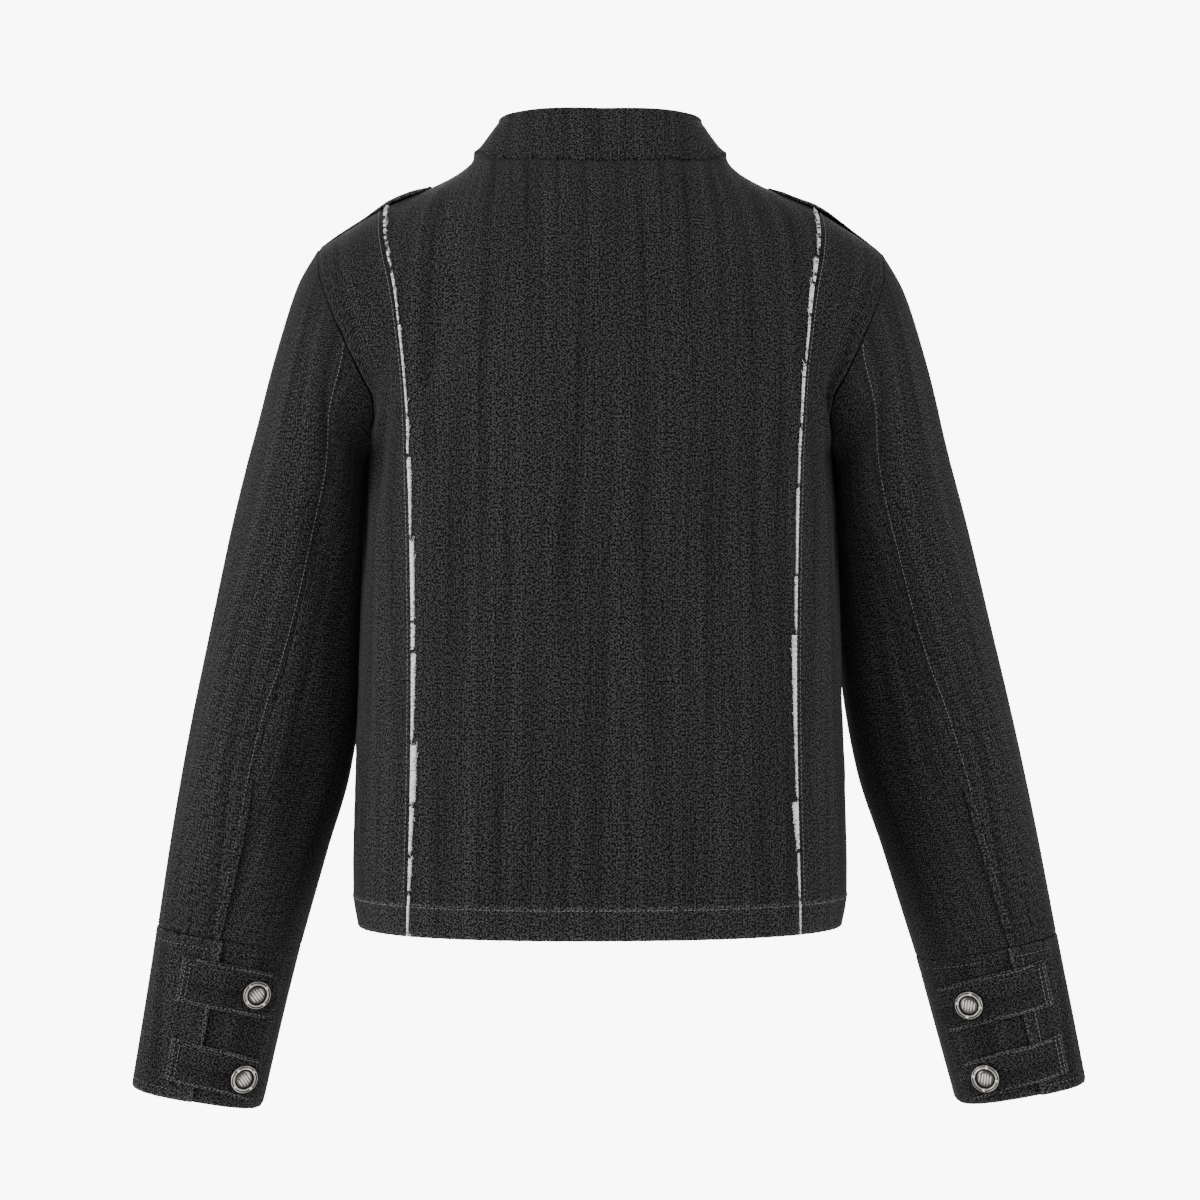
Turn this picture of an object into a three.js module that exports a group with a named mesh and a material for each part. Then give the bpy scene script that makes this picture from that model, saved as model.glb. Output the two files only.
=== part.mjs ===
// Cropped denim jacket with a stand collar, hollow and filled out as on a wearer.
// Millimetres, +Z up, the front faces -Y and the wearer's left is +X.
// The origin is the middle of the neck, level with the collar seam at the sides.
import * as THREE from "three";

// Cloth
const CLOTH_WALL = 1.5;
const BAND_WALL = 2.4;
const SEAM_GAP = 0.36;
const HEM_DEPTH = 23;
const HEM_RISE = 0.6;

// Body
const HEM_Z = -534;
const UNDERARM_Z = -208;
const RING_POWER = 2.4;
const NECK_HALF_WIDTH = 88;
const NECK_SIDE = new THREE.Vector3(88, 4, 0);
const NAPE_DEPTH = 74;
const NECK_FRONT_DEPTH = 78;
const SHOULDER_POINT = new THREE.Vector3(197, -3, -64);
const SHOULDER_CROWN = 2.4;
const SHOULDER_DIP = 5.2;
const NECK_SHARE = 0.45;
const UPPER_LENGTH = 190;
const LOWER_LENGTH = UNDERARM_Z - HEM_Z;
const BODY_LENGTH = LOWER_LENGTH + UPPER_LENGTH;
const FRONT_LAP = 16;
const LAP_DEPTH = CLOTH_WALL + 0.75;

// Half of a seam gap, as a share of a body half
const SHARE_GAP = SEAM_GAP / 2 / 240;

// How the upper body meets its top edge: the pull inward and upward, at the centre and further out
const TOP_PULL = {
  back: { inward: 150, inwardOut: 240, upward: 120, upwardOut: 40 },
  front: { inward: 80, inwardOut: 210, upward: 130, upwardOut: 60 },
};
const SHOULDER_PULL = 240;

// Rows of a body panel, close together where the turned-up hem ends and over the shoulder
const LOWER_ROWS = 8;
const UPPER_ROWS = 11;

// Each row: height, half width, depth at the back, depth at the front
const BODY_RINGS = [
  { z: -534, half: 168, back: 113, front: 121 },
  { z: -508, half: 172, back: 116, front: 124 },
  { z: -440, half: 171, back: 115, front: 122 },
  { z: -378, half: 169, back: 114, front: 122 },
  { z: -308, half: 167, back: 117, front: 128 },
  { z: -250, half: 165, back: 119.5, front: 133 },
  { z: -208, half: 164, back: 120, front: 134 },
];

// Each row: angle from the shoulder round to the underarm, and how far out the armhole is
const ARMHOLE_BACK = [
  { angle: 0, out: 197 },
  { angle: 43, out: 193.5 },
  { angle: 60, out: 189 },
  { angle: 75, out: 182 },
  { angle: 90, out: 173.5 },
  { angle: 104, out: 165.5 },
  { angle: 118, out: 157 },
  { angle: 135, out: 155.5 },
  { angle: 152, out: 160 },
  { angle: 180, out: 164 },
];
const ARMHOLE_FRONT = [
  { angle: 0, out: 197 },
  { angle: 30, out: 192 },
  { angle: 60, out: 180 },
  { angle: 90, out: 165 },
  { angle: 118, out: 154 },
  { angle: 135, out: 153.5 },
  { angle: 152, out: 159 },
  { angle: 180, out: 164 },
];
const ARMHOLE_HALF_HEIGHT = 72;
const ARMHOLE_HALF_DEPTH = 76;

// Largest folds of the body. Each row: share and length up of the upper and the lower end,
// half width and height, which is negative for a valley
const BACK_FOLDS = [
  { x1: 0.45, y1: 460, x0: 0.515, y0: 330, wide: 24, high: -3 },
  { x1: 0.16, y1: 400, x0: 0.15, y0: 255, wide: 24, high: 1.8 },
  { x1: 0.33, y1: 310, x0: 0.33, y0: 180, wide: 24, high: -2 },
  { x1: 0.24, y1: 165, x0: 0.24, y0: 15, wide: 24, high: 1.5 },
  { x1: 0.735, y1: 380, x0: 0.73, y0: 280, wide: 16, high: -2.8 },
  { x1: -0.3, y1: 430, x0: -0.42, y0: 240, wide: 26, high: -1.8 },
  { x1: -0.2, y1: 200, x0: -0.3, y0: 30, wide: 24, high: -1.5 },
  { x1: -0.8, y1: 460, x0: -0.78, y0: 325, wide: 18, high: 1.8 },
  { x1: -0.93, y1: 450, x0: -0.88, y0: 290, wide: 16, high: -2.6 },
];
const FRONT_FOLDS = [
  { x1: 0.5, y1: 455, x0: 0.44, y0: 320, wide: 24, high: -2.6 },
  { x1: 0.3, y1: 260, x0: 0.36, y0: 90, wide: 24, high: -1.7 },
  { x1: 0.62, y1: 250, x0: 0.58, y0: 110, wide: 26, high: 1.5 },
  { x1: -0.48, y1: 450, x0: -0.46, y0: 310, wide: 24, high: -2.4 },
  { x1: -0.26, y1: 300, x0: -0.34, y0: 110, wide: 26, high: 1.6 },
  { x1: -0.6, y1: 230, x0: -0.56, y0: 70, wide: 26, high: -1.6 },
];

// Each row: height, and how far the back seam is from the centre
const BACK_SEAM = [
  { z: -534, out: 132 },
  { z: -490, out: 131 },
  { z: -420, out: 129.5 },
  { z: -340, out: 129 },
  { z: -268, out: 130 },
  { z: -202, out: 132 },
  { z: -162, out: 134 },
  { z: -128, out: 137.5 },
  { z: -100, out: 141 },
  { z: -63, out: 148 },
  { z: -34, out: 150 },
];

// Frayed edge that lies along each back seam
const FRAY_THICK = 0.9;
const FRAY_STEPS = 2;
// Each row: height where a tuft starts, its width there and its width at its lower end
const FRAY_TUFTS_LEFT = [
  { z: -36, wide: 3.4, narrow: 1.3 },
  { z: -66, wide: 2.6, narrow: 1.4 },
  { z: -86, wide: 2.0, narrow: 1.5 },
  { z: -124, wide: 2.6, narrow: 1.6 },
  { z: -186, wide: 2.4, narrow: 2.0 },
  { z: -212, wide: 3.9, narrow: 1.2 },
  { z: -267, wide: 3.9, narrow: 3.0 },
  { z: -324, wide: 3.4, narrow: 3.0 },
  { z: -343, wide: 4.2, narrow: 1.7 },
  { z: -404, wide: 5.0, narrow: 4.4 },
  { z: -446, wide: 3.6, narrow: 2.0 },
  { z: -480, wide: 3.2, narrow: 1.7 },
  { z: -505, wide: 2.0, narrow: 1.7 },
];
const FRAY_TUFTS_RIGHT = [
  { z: -36, wide: 3.2, narrow: 2.0 },
  { z: -76, wide: 3.6, narrow: 2.4 },
  { z: -96, wide: 4.0, narrow: 3.2 },
  { z: -118, wide: 2.8, narrow: 1.2 },
  { z: -150, wide: 3.6, narrow: 1.6 },
  { z: -192, wide: 2.4, narrow: 1.3 },
  { z: -232, wide: 2.8, narrow: 1.4 },
  { z: -292, wide: 2.9, narrow: 1.3 },
  { z: -331, wide: 4.6, narrow: 1.3 },
  { z: -443, wide: 5.6, narrow: 2.0 },
  { z: -478, wide: 1.8, narrow: 1.2 },
  { z: -510, wide: 1.6, narrow: 1.2 },
];

// Collar
const COLLAR_TOP_HALF_WIDTH = 70;
const COLLAR_TOP_BACK = 60;
const COLLAR_TOP_FRONT = 63;
const COLLAR_BELLY = 1.4;
const COLLAR_OPENING = 1.6;
const NECK_STEP = 18;
const COLLAR_CORNER = 12;
// Each row: angle from the nape round to the front, height of the seam and of the top edge
const COLLAR_HEIGHTS = [
  { angle: 0, seam: -12, top: 24 },
  { angle: 45, seam: -8, top: 25 },
  { angle: 90, seam: 0, top: 22 },
  { angle: 135, seam: -30, top: 3 },
  { angle: 180, seam: -62, top: -28 },
];

// Sleeves. Each row: outer and inner point of a section, its middle from front to back,
// its half depth, its roundness and the angle where the back seam crosses it
const SLEEVE_SECTIONS = [
  { outX: 212, outZ: -93, inX: 166, inZ: -217, midY: 0, deep: 77, power: 2.1, seam: 108 },
  { outX: 227, outZ: -140, inX: 168, inZ: -234, midY: -2, deep: 75, power: 2.2, seam: 114 },
  { outX: 240, outZ: -190, inX: 169, inZ: -258, midY: -7, deep: 72, power: 2.3, seam: 112 },
  { outX: 258, outZ: -255, inX: 171, inZ: -298, midY: -15, deep: 67, power: 2.3, seam: 106 },
  { outX: 275, outZ: -325, inX: 174, inZ: -356, midY: -23, deep: 62, power: 2.3, seam: 97 },
  { outX: 292, outZ: -398, inX: 179, inZ: -424, midY: -28, deep: 59, power: 2.3, seam: 88 },
  { outX: 305.5, outZ: -466, inX: 198, inZ: -487, midY: -30, deep: 54, power: 2.4, seam: 88 },
  { outX: 319, outZ: -543.4, inX: 220.5, inZ: -562.2, midY: -32, deep: 45, power: 2.7, seam: 86 },
];
const CUFF_TOP = { outX: 319.4, outZ: -544, inX: 220.6, inZ: -562.8, midY: -32, deep: 45.5, power: 2.7 };
const CUFF_HEM = { outX: 338.5, outZ: -649, inX: 247, inZ: -665.5, midY: -34, deep: 41, power: 2.8 };
// The left cuff seam sits higher by this
const LEFT_RAISE = { outX: -1.4, outZ: 7.5, inX: -2.6, inZ: 10 };
const SLEEVE_LEAN = 9;
const CUFF_TURN = 2.6;
const BODY_CLEARANCE = 1.6;
const CUFF_LAP = 24;
const CUFF_VENT = 87.3;

const CUFF_HEIGHT = 107;
const UNDER_DEPTH = BAND_WALL + SEAM_GAP;
const ANGLE_GAP = 0.18;
const SLEEVE_ROWS = [
  0, 0.03, 0.075, 0.125, 0.17, 0.215, 0.26, 0.305, 0.35, 0.395, 0.44, 0.485,
  0.53, 0.575, 0.62, 0.665, 0.71, 0.755, 0.8, 0.85, 0.9, 0.95, 1,
];
// Rows of the armhole where a front and a back sleeve seam start
const HEAD_FRONT = 4;
const HEAD_BACK = 5;
// Largest folds of a sleeve. Each row: angle and share down of the upper and the lower end,
// half width and height
const SLEEVE_FOLDS = {
  left: [
    { x1: 118, y1: 0.34, x0: 110, y0: 0.56, wide: 20, high: -3.2 },
    { x1: 122, y1: 0.68, x0: 120, y0: 0.9, wide: 18, high: -2.6 },
    { x1: 70, y1: 0.16, x0: 88, y0: 0.5, wide: 24, high: 1.8 },
    { x1: 40, y1: 0.3, x0: 52, y0: 0.66, wide: 24, high: -1.6 },
    { x1: -75, y1: 0.42, x0: -110, y0: 0.56, wide: 22, high: -3.2 },
    { x1: -80, y1: 0.56, x0: -120, y0: 0.67, wide: 20, high: -2.6 },
    { x1: -62, y1: 0.64, x0: -98, y0: 0.77, wide: 20, high: 2 },
  ],
  right: [
    { x1: 122, y1: 0.08, x0: 126, y0: 0.36, wide: 18, high: -2.8 },
    { x1: 112, y1: 0.42, x0: 104, y0: 0.74, wide: 20, high: -2.4 },
    { x1: 78, y1: 0.2, x0: 90, y0: 0.54, wide: 24, high: 1.6 },
    { x1: 46, y1: 0.34, x0: 56, y0: 0.74, wide: 24, high: -1.5 },
    { x1: -72, y1: 0.45, x0: -108, y0: 0.58, wide: 22, high: -3 },
    { x1: -84, y1: 0.59, x0: -124, y0: 0.69, wide: 20, high: -2.4 },
    { x1: -60, y1: 0.66, x0: -96, y0: 0.79, wide: 20, high: 1.8 },
  ],
};

// Cuff tabs. Each row: top and lower edge down from the cuff seam at the sewn end, how much lower
// the free end lies, first and last angle past the vent, and the angle of the button
const TABS = {
  left: {
    upper: { top: 12.5, bottom: 42.5, tilt: 5, from: -22.5, to: 57, button: 28 },
    lower: { top: 66.5, bottom: 94, tilt: 9, from: -19.5, to: 61, button: 33 },
  },
  right: {
    upper: { top: 12.5, bottom: 45, tilt: 9, from: -26, to: 77, button: 31 },
    lower: { top: 66.5, bottom: 94, tilt: 11, from: -27, to: 67, button: 32.5 },
  },
};
const TAB_WALL = 1.8;
const TAB_FOLD = 0.7;
const TAB_POINT_SHARE = 0.52;

// Shoulder straps
const STRAP_WIDTH = 42;
const STRAP_WALL = 2.2;
const STRAP_FORWARD = 6;
const STRAP_END_SHARE = 0.27;
const STRAP_GAP = 1.0;
const STRAP_LIFT = 2.6;
// Where each strap stands off the shoulder most
const STRAP_BULGE = { left: 0.26, right: 0.55 };

// Buttons
const BUTTON_RADIUS = 9.8;
const BUTTON_HEIGHT = 5.4;
const FRONT_BUTTONS = [-84, -168, -252, -336, -420, -500];

const CLOTH_LOOK = { color: 0x2a2a2b, roughness: 0.94, metalness: 0 };
const FRAY_LOOK = { color: 0xc9c8c6, roughness: 0.96, metalness: 0 };
const METAL_LOOK = { color: 0x8f8d88, roughness: 0.38, metalness: 1 };

const SIDES = [["left", 1], ["right", -1]];
const labelOf = (side) => (side > 0 ? "left" : "right");

const jacket = new THREE.Group();
jacket.name = "denim_jacket";

const vec = (x, y, z) => new THREE.Vector3(x, y, z);
const lerp = (a, b, share) => a + (b - a) * share;
const clamp = (value, low, high) => Math.min(high, Math.max(low, value));
const smooth = (low, high, value) => {
  const share = clamp((value - low) / (high - low), 0, 1);
  return share * share * (3 - 2 * share);
};
const radians = (degrees) => (degrees * Math.PI) / 180;
const signedPower = (value, power) => Math.sign(value) * Math.abs(value) ** power;

// Smooth value of a table between its rows
function fromTable(rows, key, at, column) {
  const last = rows.length - 1;
  const rising = rows[last][key] > rows[0][key];
  let i = 0;
  while (i < last - 1 && (rising ? at > rows[i + 1][key] : at < rows[i + 1][key])) {
    i += 1;
  }
  const slope = (j) => {
    const a = rows[Math.max(j - 1, 0)];
    const b = rows[Math.min(j + 1, last)];
    return (b[column] - a[column]) / (b[key] - a[key]);
  };
  const span = rows[i + 1][key] - rows[i][key];
  const u = clamp((at - rows[i][key]) / span, 0, 1);
  const u2 = u * u;
  const u3 = u2 * u;
  return (
    (2 * u3 - 3 * u2 + 1) * rows[i][column] +
    (u3 - 2 * u2 + u) * span * slope(i) +
    (3 * u2 - 2 * u3) * rows[i + 1][column] +
    (u3 - u2) * span * slope(i + 1)
  );
}

// Height of long soft folds at a place. Each swells between its two ends
function foldHeight(rows, x, y, scaleX, scaleY) {
  let total = 0;
  for (const fold of rows) {
    const dx = (fold.x1 - fold.x0) * scaleX;
    const dy = (fold.y1 - fold.y0) * scaleY;
    const px = (x - fold.x0) * scaleX;
    const py = (y - fold.y0) * scaleY;
    const part = clamp((px * dx + py * dy) / (dx * dx + dy * dy), 0, 1);
    const off = (px * dy - py * dx) / Math.hypot(dx, dy);
    total += fold.high * Math.sin(Math.PI * part) * Math.exp(-1.6 * (off / fold.wide) ** 2);
  }
  return total;
}

function hermite(start, end, leave, arrive, u) {
  const u2 = u * u;
  const u3 = u2 * u;
  return vec(0, 0, 0)
    .addScaledVector(start, 2 * u3 - 3 * u2 + 1)
    .addScaledVector(leave, u3 - 2 * u2 + u)
    .addScaledVector(end, 3 * u2 - 2 * u3)
    .addScaledVector(arrive, u3 - u2);
}

// Body level: share 0 is the centre and 1 the side, and faceBack is 1 behind and -1 in front
function bodyRing(share, z, faceBack) {
  const turn = (Math.abs(share) * Math.PI) / 2;
  const half = fromTable(BODY_RINGS, "z", z, "half");
  const depth = fromTable(BODY_RINGS, "z", z, faceBack > 0 ? "back" : "front");
  return vec(
    Math.sign(share) * half * Math.sin(turn) ** (2 / RING_POWER),
    faceBack * depth * Math.max(Math.cos(turn), 0) ** (2 / RING_POWER),
    z,
  );
}

function armhole(angle, faceBack) {
  const rows = faceBack > 0 ? ARMHOLE_BACK : ARMHOLE_FRONT;
  const turn = radians(angle);
  const middle = (SHOULDER_POINT.z + UNDERARM_Z) / 2;
  return vec(
    fromTable(rows, "angle", angle, "out"),
    SHOULDER_POINT.y * 0.5 * (1 + Math.cos(turn)) + faceBack * ARMHOLE_HALF_DEPTH * Math.sin(turn),
    middle + ARMHOLE_HALF_HEIGHT * Math.cos(turn),
  );
}

// Neck seam: angle 0 at the nape, 90 at the side and 180 at the front
function neckSeam(angle) {
  const turn = radians(angle);
  const depth = angle < 90 ? NAPE_DEPTH : NECK_FRONT_DEPTH;
  return vec(
    NECK_HALF_WIDTH * Math.sin(turn) ** 0.9,
    NECK_SIDE.y * Math.sin(turn) + depth * Math.cos(turn),
    fromTable(COLLAR_HEIGHTS, "angle", angle, "seam"),
  );
}

// Top edge of a body half: the neck seam and then the shoulder seam, which dips beside the neck
function topEdge(share, faceBack) {
  const out = Math.abs(share);
  let place;
  if (out < NECK_SHARE) {
    const part = (90 * out) / NECK_SHARE;
    place = neckSeam(faceBack > 0 ? part : 180 - part);
  } else {
    const part = (out - NECK_SHARE) / (1 - NECK_SHARE);
    place = NECK_SIDE.clone().lerp(SHOULDER_POINT, part);
    const dip = Math.sin(Math.PI * Math.min(part / 0.55, 1) ** 0.6);
    place.z += SHOULDER_CROWN * Math.sin(Math.PI * part) - SHOULDER_DIP * dip;
  }
  place.x *= Math.sign(share) || 1;
  return place;
}

// Half of the body from the underarm (rise 0) to its top edge (rise 1)
function upperBody(share, rise, faceBack) {
  const out = Math.abs(share);
  const side = Math.sign(share) || 1;
  const start = bodyRing(share, UNDERARM_Z, faceBack);
  const end = topEdge(share, faceBack);
  const climb = end.z - start.z;
  const leave = vec(0, faceBack * 12 * Math.sin(Math.PI * out), climb * 1.02);
  const pull = faceBack > 0 ? TOP_PULL.back : TOP_PULL.front;
  const inward = lerp(pull.inward, pull.inwardOut, smooth(0, 0.6, out));
  const upward = lerp(pull.upward, pull.upwardOut, smooth(0.1, 0.6, out));
  const arrive = vec(0, -faceBack * inward, upward);
  const place = hermite(start, end, leave, arrive, rise);
  const edge = armhole(180 * (1 - rise), faceBack);
  edge.x *= side;
  const outer = hermite(
    bodyRing(side, UNDERARM_Z, faceBack),
    topEdge(side, faceBack),
    vec(0, 0, (SHOULDER_POINT.z - UNDERARM_Z) * 1.02),
    vec(0, -faceBack * SHOULDER_PULL, pull.upwardOut),
    rise,
  );
  return place.addScaledVector(edge.sub(outer), out ** 2.2);
}

// Body point: along is the length of cloth up from the hem
function bodyPoint(share, along, faceBack) {
  if (along <= LOWER_LENGTH) {
    return bodyRing(share, HEM_Z + along, faceBack);
  }
  return upperBody(share, (along - LOWER_LENGTH) / UPPER_LENGTH, faceBack);
}

function normalOf(surface, u, v, stepU, stepV, uEnds, vEnds) {
  const u0 = Math.max(u - stepU, uEnds[0]);
  const u1 = Math.min(u + stepU, uEnds[1]);
  const v0 = Math.max(v - stepV, vEnds[0]);
  const v1 = Math.min(v + stepV, vEnds[1]);
  const across = surface(u1, v).sub(surface(u0, v));
  const up = surface(u, v1).sub(surface(u, v0));
  return across.cross(up).normalize();
}

const bodySurface = (faceBack) => (share, along) => bodyPoint(share, along, faceBack);

// Outward normal of the body, shared by both panels where they meet at the top edge and side
function bodyNormal(share, along, faceBack) {
  const ends = [
    [-1, 1],
    [0, BODY_LENGTH],
  ];
  const own = normalOf(bodySurface(faceBack), share, along, 0.01, 2, ...ends);
  own.multiplyScalar(-faceBack);
  const atSide = smooth(0.97, 1, Math.abs(share)) * (along <= LOWER_LENGTH ? 1 : 0);
  const atTop = smooth(BODY_LENGTH - 6, BODY_LENGTH, along) * (Math.abs(share) > NECK_SHARE ? 1 : 0);
  const meet = Math.max(atSide, atTop);
  if (meet > 0) {
    const other = normalOf(bodySurface(-faceBack), share, along, 0.01, 2, ...ends);
    other.multiplyScalar(faceBack);
    own.lerp(own.clone().add(other).multiplyScalar(0.5), meet);
  }
  return own.normalize();
}

// Height of the body's folds, which fade at its edges and beside the front buttons
function bodyFold(share, along, faceBack) {
  const out = Math.abs(share);
  const ends = smooth(-12, 30, along) * smooth(0, 45, BODY_LENGTH - along);
  const middle = faceBack > 0 ? 1 : smooth(0.08, 0.2, out);
  const rows = faceBack > 0 ? BACK_FOLDS : FRONT_FOLDS;
  const fade = ends * middle * (1 - smooth(0.93, 1, out));
  return fade * foldHeight(rows, share, along, 240, 1);
}

// Closed body between an outer and an inner grid of points
function closedWall(outer, inner) {
  const rows = outer.length;
  const columns = outer[0].length;
  const lastRow = rows - 1;
  const lastColumn = columns - 1;
  const points = [];
  const faces = [];
  for (const grid of [outer, inner]) {
    for (const row of grid) {
      for (const p of row) {
        points.push(p.x, p.y, p.z);
      }
    }
  }
  const at = (layer, i, j) => layer * rows * columns + i * columns + j;
  const quad = (a, b, c, d) => faces.push(a, b, c, a, c, d);
  for (let i = 0; i < lastRow; i += 1) {
    for (let j = 0; j < lastColumn; j += 1) {
      quad(at(0, i, j), at(0, i, j + 1), at(0, i + 1, j + 1), at(0, i + 1, j));
      quad(at(1, i, j), at(1, i + 1, j), at(1, i + 1, j + 1), at(1, i, j + 1));
    }
  }
  const rim = (i, j, k, l) => quad(at(0, i, j), at(0, k, l), at(1, k, l), at(1, i, j));
  for (let i = 0; i < lastRow; i += 1) {
    rim(i, 0, i + 1, 0);
    rim(i + 1, lastColumn, i, lastColumn);
  }
  for (let j = 0; j < lastColumn; j += 1) {
    rim(0, j + 1, 0, j);
    rim(lastRow, j, lastRow, j + 1);
  }
  const geometry = new THREE.BufferGeometry();
  geometry.setAttribute("position", new THREE.Float32BufferAttribute(points, 3));
  geometry.setIndex(faces);
  return geometry;
}

function volumeOf(geometry) {
  const p = geometry.getAttribute("position");
  const index = geometry.getIndex();
  let total = 0;
  const corner = [vec(0, 0, 0), vec(0, 0, 0), vec(0, 0, 0)];
  for (let i = 0; i < index.count; i += 3) {
    corner.forEach((c, k) => c.fromBufferAttribute(p, index.getX(i + k)));
    total += corner[0].dot(corner[1].clone().cross(corner[2]));
  }
  return total;
}

// Turns the faces outward and adds the piece to the jacket
function addPiece(name, geometry, look) {
  if (volumeOf(geometry) < 0) {
    const index = geometry.getIndex();
    for (let i = 0; i < index.count; i += 3) {
      const second = index.getX(i + 1);
      index.setX(i + 1, index.getX(i + 2));
      index.setX(i + 2, second);
    }
  }
  geometry.computeVertexNormals();
  const mesh = new THREE.Mesh(geometry, new THREE.MeshStandardMaterial(look));
  mesh.name = name;
  jacket.add(mesh);
}

// Normal along the outer edge of a body panel, the side seam and then the armhole
function armholeNormal(along, faceBack, side) {
  const own = bodyNormal(1, along, faceBack);
  const rise = (along - LOWER_LENGTH) / UPPER_LENGTH;
  if (rise > 0) {
    own.copy(meetNormals(own, sleeveOwnNormal(faceBack * 180 * (1 - rise), 0, side)));
  }
  return mirrored(own, side);
}

// Lengths up from the hem of a body panel's rows
const upperRise = (i) => (i / UPPER_ROWS) * (1.3 - (0.3 * i) / UPPER_ROWS);
function panelRows() {
  const rows = [SEAM_GAP, HEM_DEPTH - 1.2, HEM_DEPTH + 1.2];
  for (let i = 1; i <= LOWER_ROWS; i += 1) {
    rows.push(lerp(HEM_DEPTH + 1.2, LOWER_LENGTH, i / LOWER_ROWS));
  }
  for (let i = 1; i <= UPPER_ROWS; i += 1) {
    rows.push(Math.min(LOWER_LENGTH + UPPER_LENGTH * upperRise(i), BODY_LENGTH - SEAM_GAP / 2));
  }
  return rows;
}

// Panel between two edges, each given as a share at a length up from the hem.
// Its columns are given as shares at the top edge.
function bodyPanel(name, faceBack, side, edges, topShares, sink) {
  const columns = topShares.length - 1;
  const ends = edges.map((edge) => edge(BODY_LENGTH));
  const parts = topShares.map((share) => clamp((share - ends[0]) / (ends[1] - ends[0]), 0, 1));
  const outer = [];
  const inner = [];
  for (const along of panelRows()) {
    const hem = 1 - smooth(HEM_DEPTH - 1.3, HEM_DEPTH + 1.3, along);
    const outRow = [];
    const inRow = [];
    for (let j = 0; j <= columns; j += 1) {
      const share = side * lerp(edges[0](along), edges[1](along), parts[j]);
      const place = bodyPoint(share, along, faceBack);
      const atArmhole = j === columns && edges[1] === outerEdge;
      const body = bodyNormal(share, along, faceBack);
      const out = atArmhole ? armholeNormal(along, faceBack, side) : body;
      const lift = bodyFold(share, along, faceBack) - (sink ? sink(share * side, hem) : 0);
      outRow.push(place.clone().addScaledVector(out, HEM_RISE * hem + lift));
      inRow.push(place.clone().addScaledVector(out, -CLOTH_WALL - HEM_RISE * hem + lift));
    }
    outer.push(outRow);
    inner.push(inRow);
  }
  addPiece(name, closedWall(outer, inner), CLOTH_LOOK);
  return outer;
}

// Share of the back seam at a length up from the hem, so that it passes through its table
function seamShare(along) {
  let low = 0.3;
  let high = 0.95;
  for (let i = 0; i < 30; i += 1) {
    const share = (low + high) / 2;
    const place = bodyPoint(share, along, 1);
    if (place.x < fromTable(BACK_SEAM, "z", place.z, "out")) {
      low = share;
    } else {
      high = share;
    }
  }
  return low;
}

const outerEdge = () => 1 - SHARE_GAP;
const centreEdges = [(a) => -seamShare(a) + SHARE_GAP, (a) => seamShare(a) - SHARE_GAP];
const neckShares = [0, 0.2, 0.4, 0.6, 0.8, 1].map((part) => part * NECK_SHARE);
const centreHalf = [...neckShares, 0.51, 0.61, 1];
const centreShares = [...centreHalf.slice(1).reverse().map((share) => -share), ...centreHalf];
const centreGrid = bodyPanel("back_centre", 1, 1, centreEdges, centreShares);
const sideShares = [0.7, 0.81, 0.855, 0.9, 0.95, 1];
for (const [label, side] of SIDES) {
  bodyPanel(`back_side_${label}`, 1, side, [(a) => seamShare(a) + SHARE_GAP, outerEdge], sideShares);
}

// The fronts lap at the button line, the wearer's right over the left
const lapShare = (along) => {
  const half = fromTable(BODY_RINGS, "z", Math.min(HEM_Z + along, UNDERARM_Z), "half");
  const share = (Math.asin((FRONT_LAP / half) ** (RING_POWER / 2)) * 2) / Math.PI;
  return share * (1 - 0.1 * smooth(LOWER_LENGTH, 500, along));
};
const lapSink = (share, hem) =>
  (LAP_DEPTH + 2 * HEM_RISE * hem) * (1 - smooth(0.085, 0.175, share));
const frontShares = [-1, ...neckShares, 0.51, 0.61, 0.74, 0.87, 1];
bodyPanel("front_right", -1, -1, [(a) => -lapShare(a), outerEdge], frontShares);
bodyPanel("front_left", -1, 1, [(a) => -lapShare(a), outerEdge], frontShares, lapSink);

// Frayed edge: lies on the centre panel, its sewn side along the seam
function frayWidth(rows, z) {
  let i = 0;
  while (i < rows.length - 1 && z <= rows[i + 1].z) {
    i += 1;
  }
  const end = i < rows.length - 1 ? rows[i + 1].z : HEM_Z;
  return lerp(rows[i].wide, rows[i].narrow, clamp((rows[i].z - z) / (rows[i].z - end), 0, 1));
}

function frayedEdge(label, side, rows) {
  const outer = [];
  const inner = [];
  const edge = side > 0 ? centreGrid[0].length - 1 : 0;
  const last = (centreGrid.length - 1) * FRAY_STEPS;
  for (let i = 0; i <= last; i += 1) {
    const at = clamp(i / FRAY_STEPS, 0.03, centreGrid.length - 1.06);
    const row = Math.floor(at);
    const seam = centreGrid[row][edge].clone().lerp(centreGrid[row + 1][edge], at - row);
    const beside = edge - side;
    const next = centreGrid[row][beside].clone().lerp(centreGrid[row + 1][beside], at - row);
    const up = centreGrid[row + 1][edge].clone().sub(centreGrid[row][edge]);
    const across = next.clone().sub(seam).normalize();
    const out = up.cross(across).multiplyScalar(-side).normalize();
    const width = frayWidth(rows, seam.z) + 0.25 * Math.sin(i * 2.4);
    const fringe = seam.clone().addScaledVector(across, width);
    inner.push([fringe, seam].map((p) => p.clone().addScaledVector(out, 0.3)));
    outer.push([fringe, seam].map((p) => p.clone().addScaledVector(out, 0.3 + FRAY_THICK)));
  }
  addPiece(`raw_edge_${label}`, closedWall(outer, inner), FRAY_LOOK);
}
frayedEdge("left", 1, FRAY_TUFTS_LEFT);
frayedEdge("right", -1, FRAY_TUFTS_RIGHT);

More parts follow.
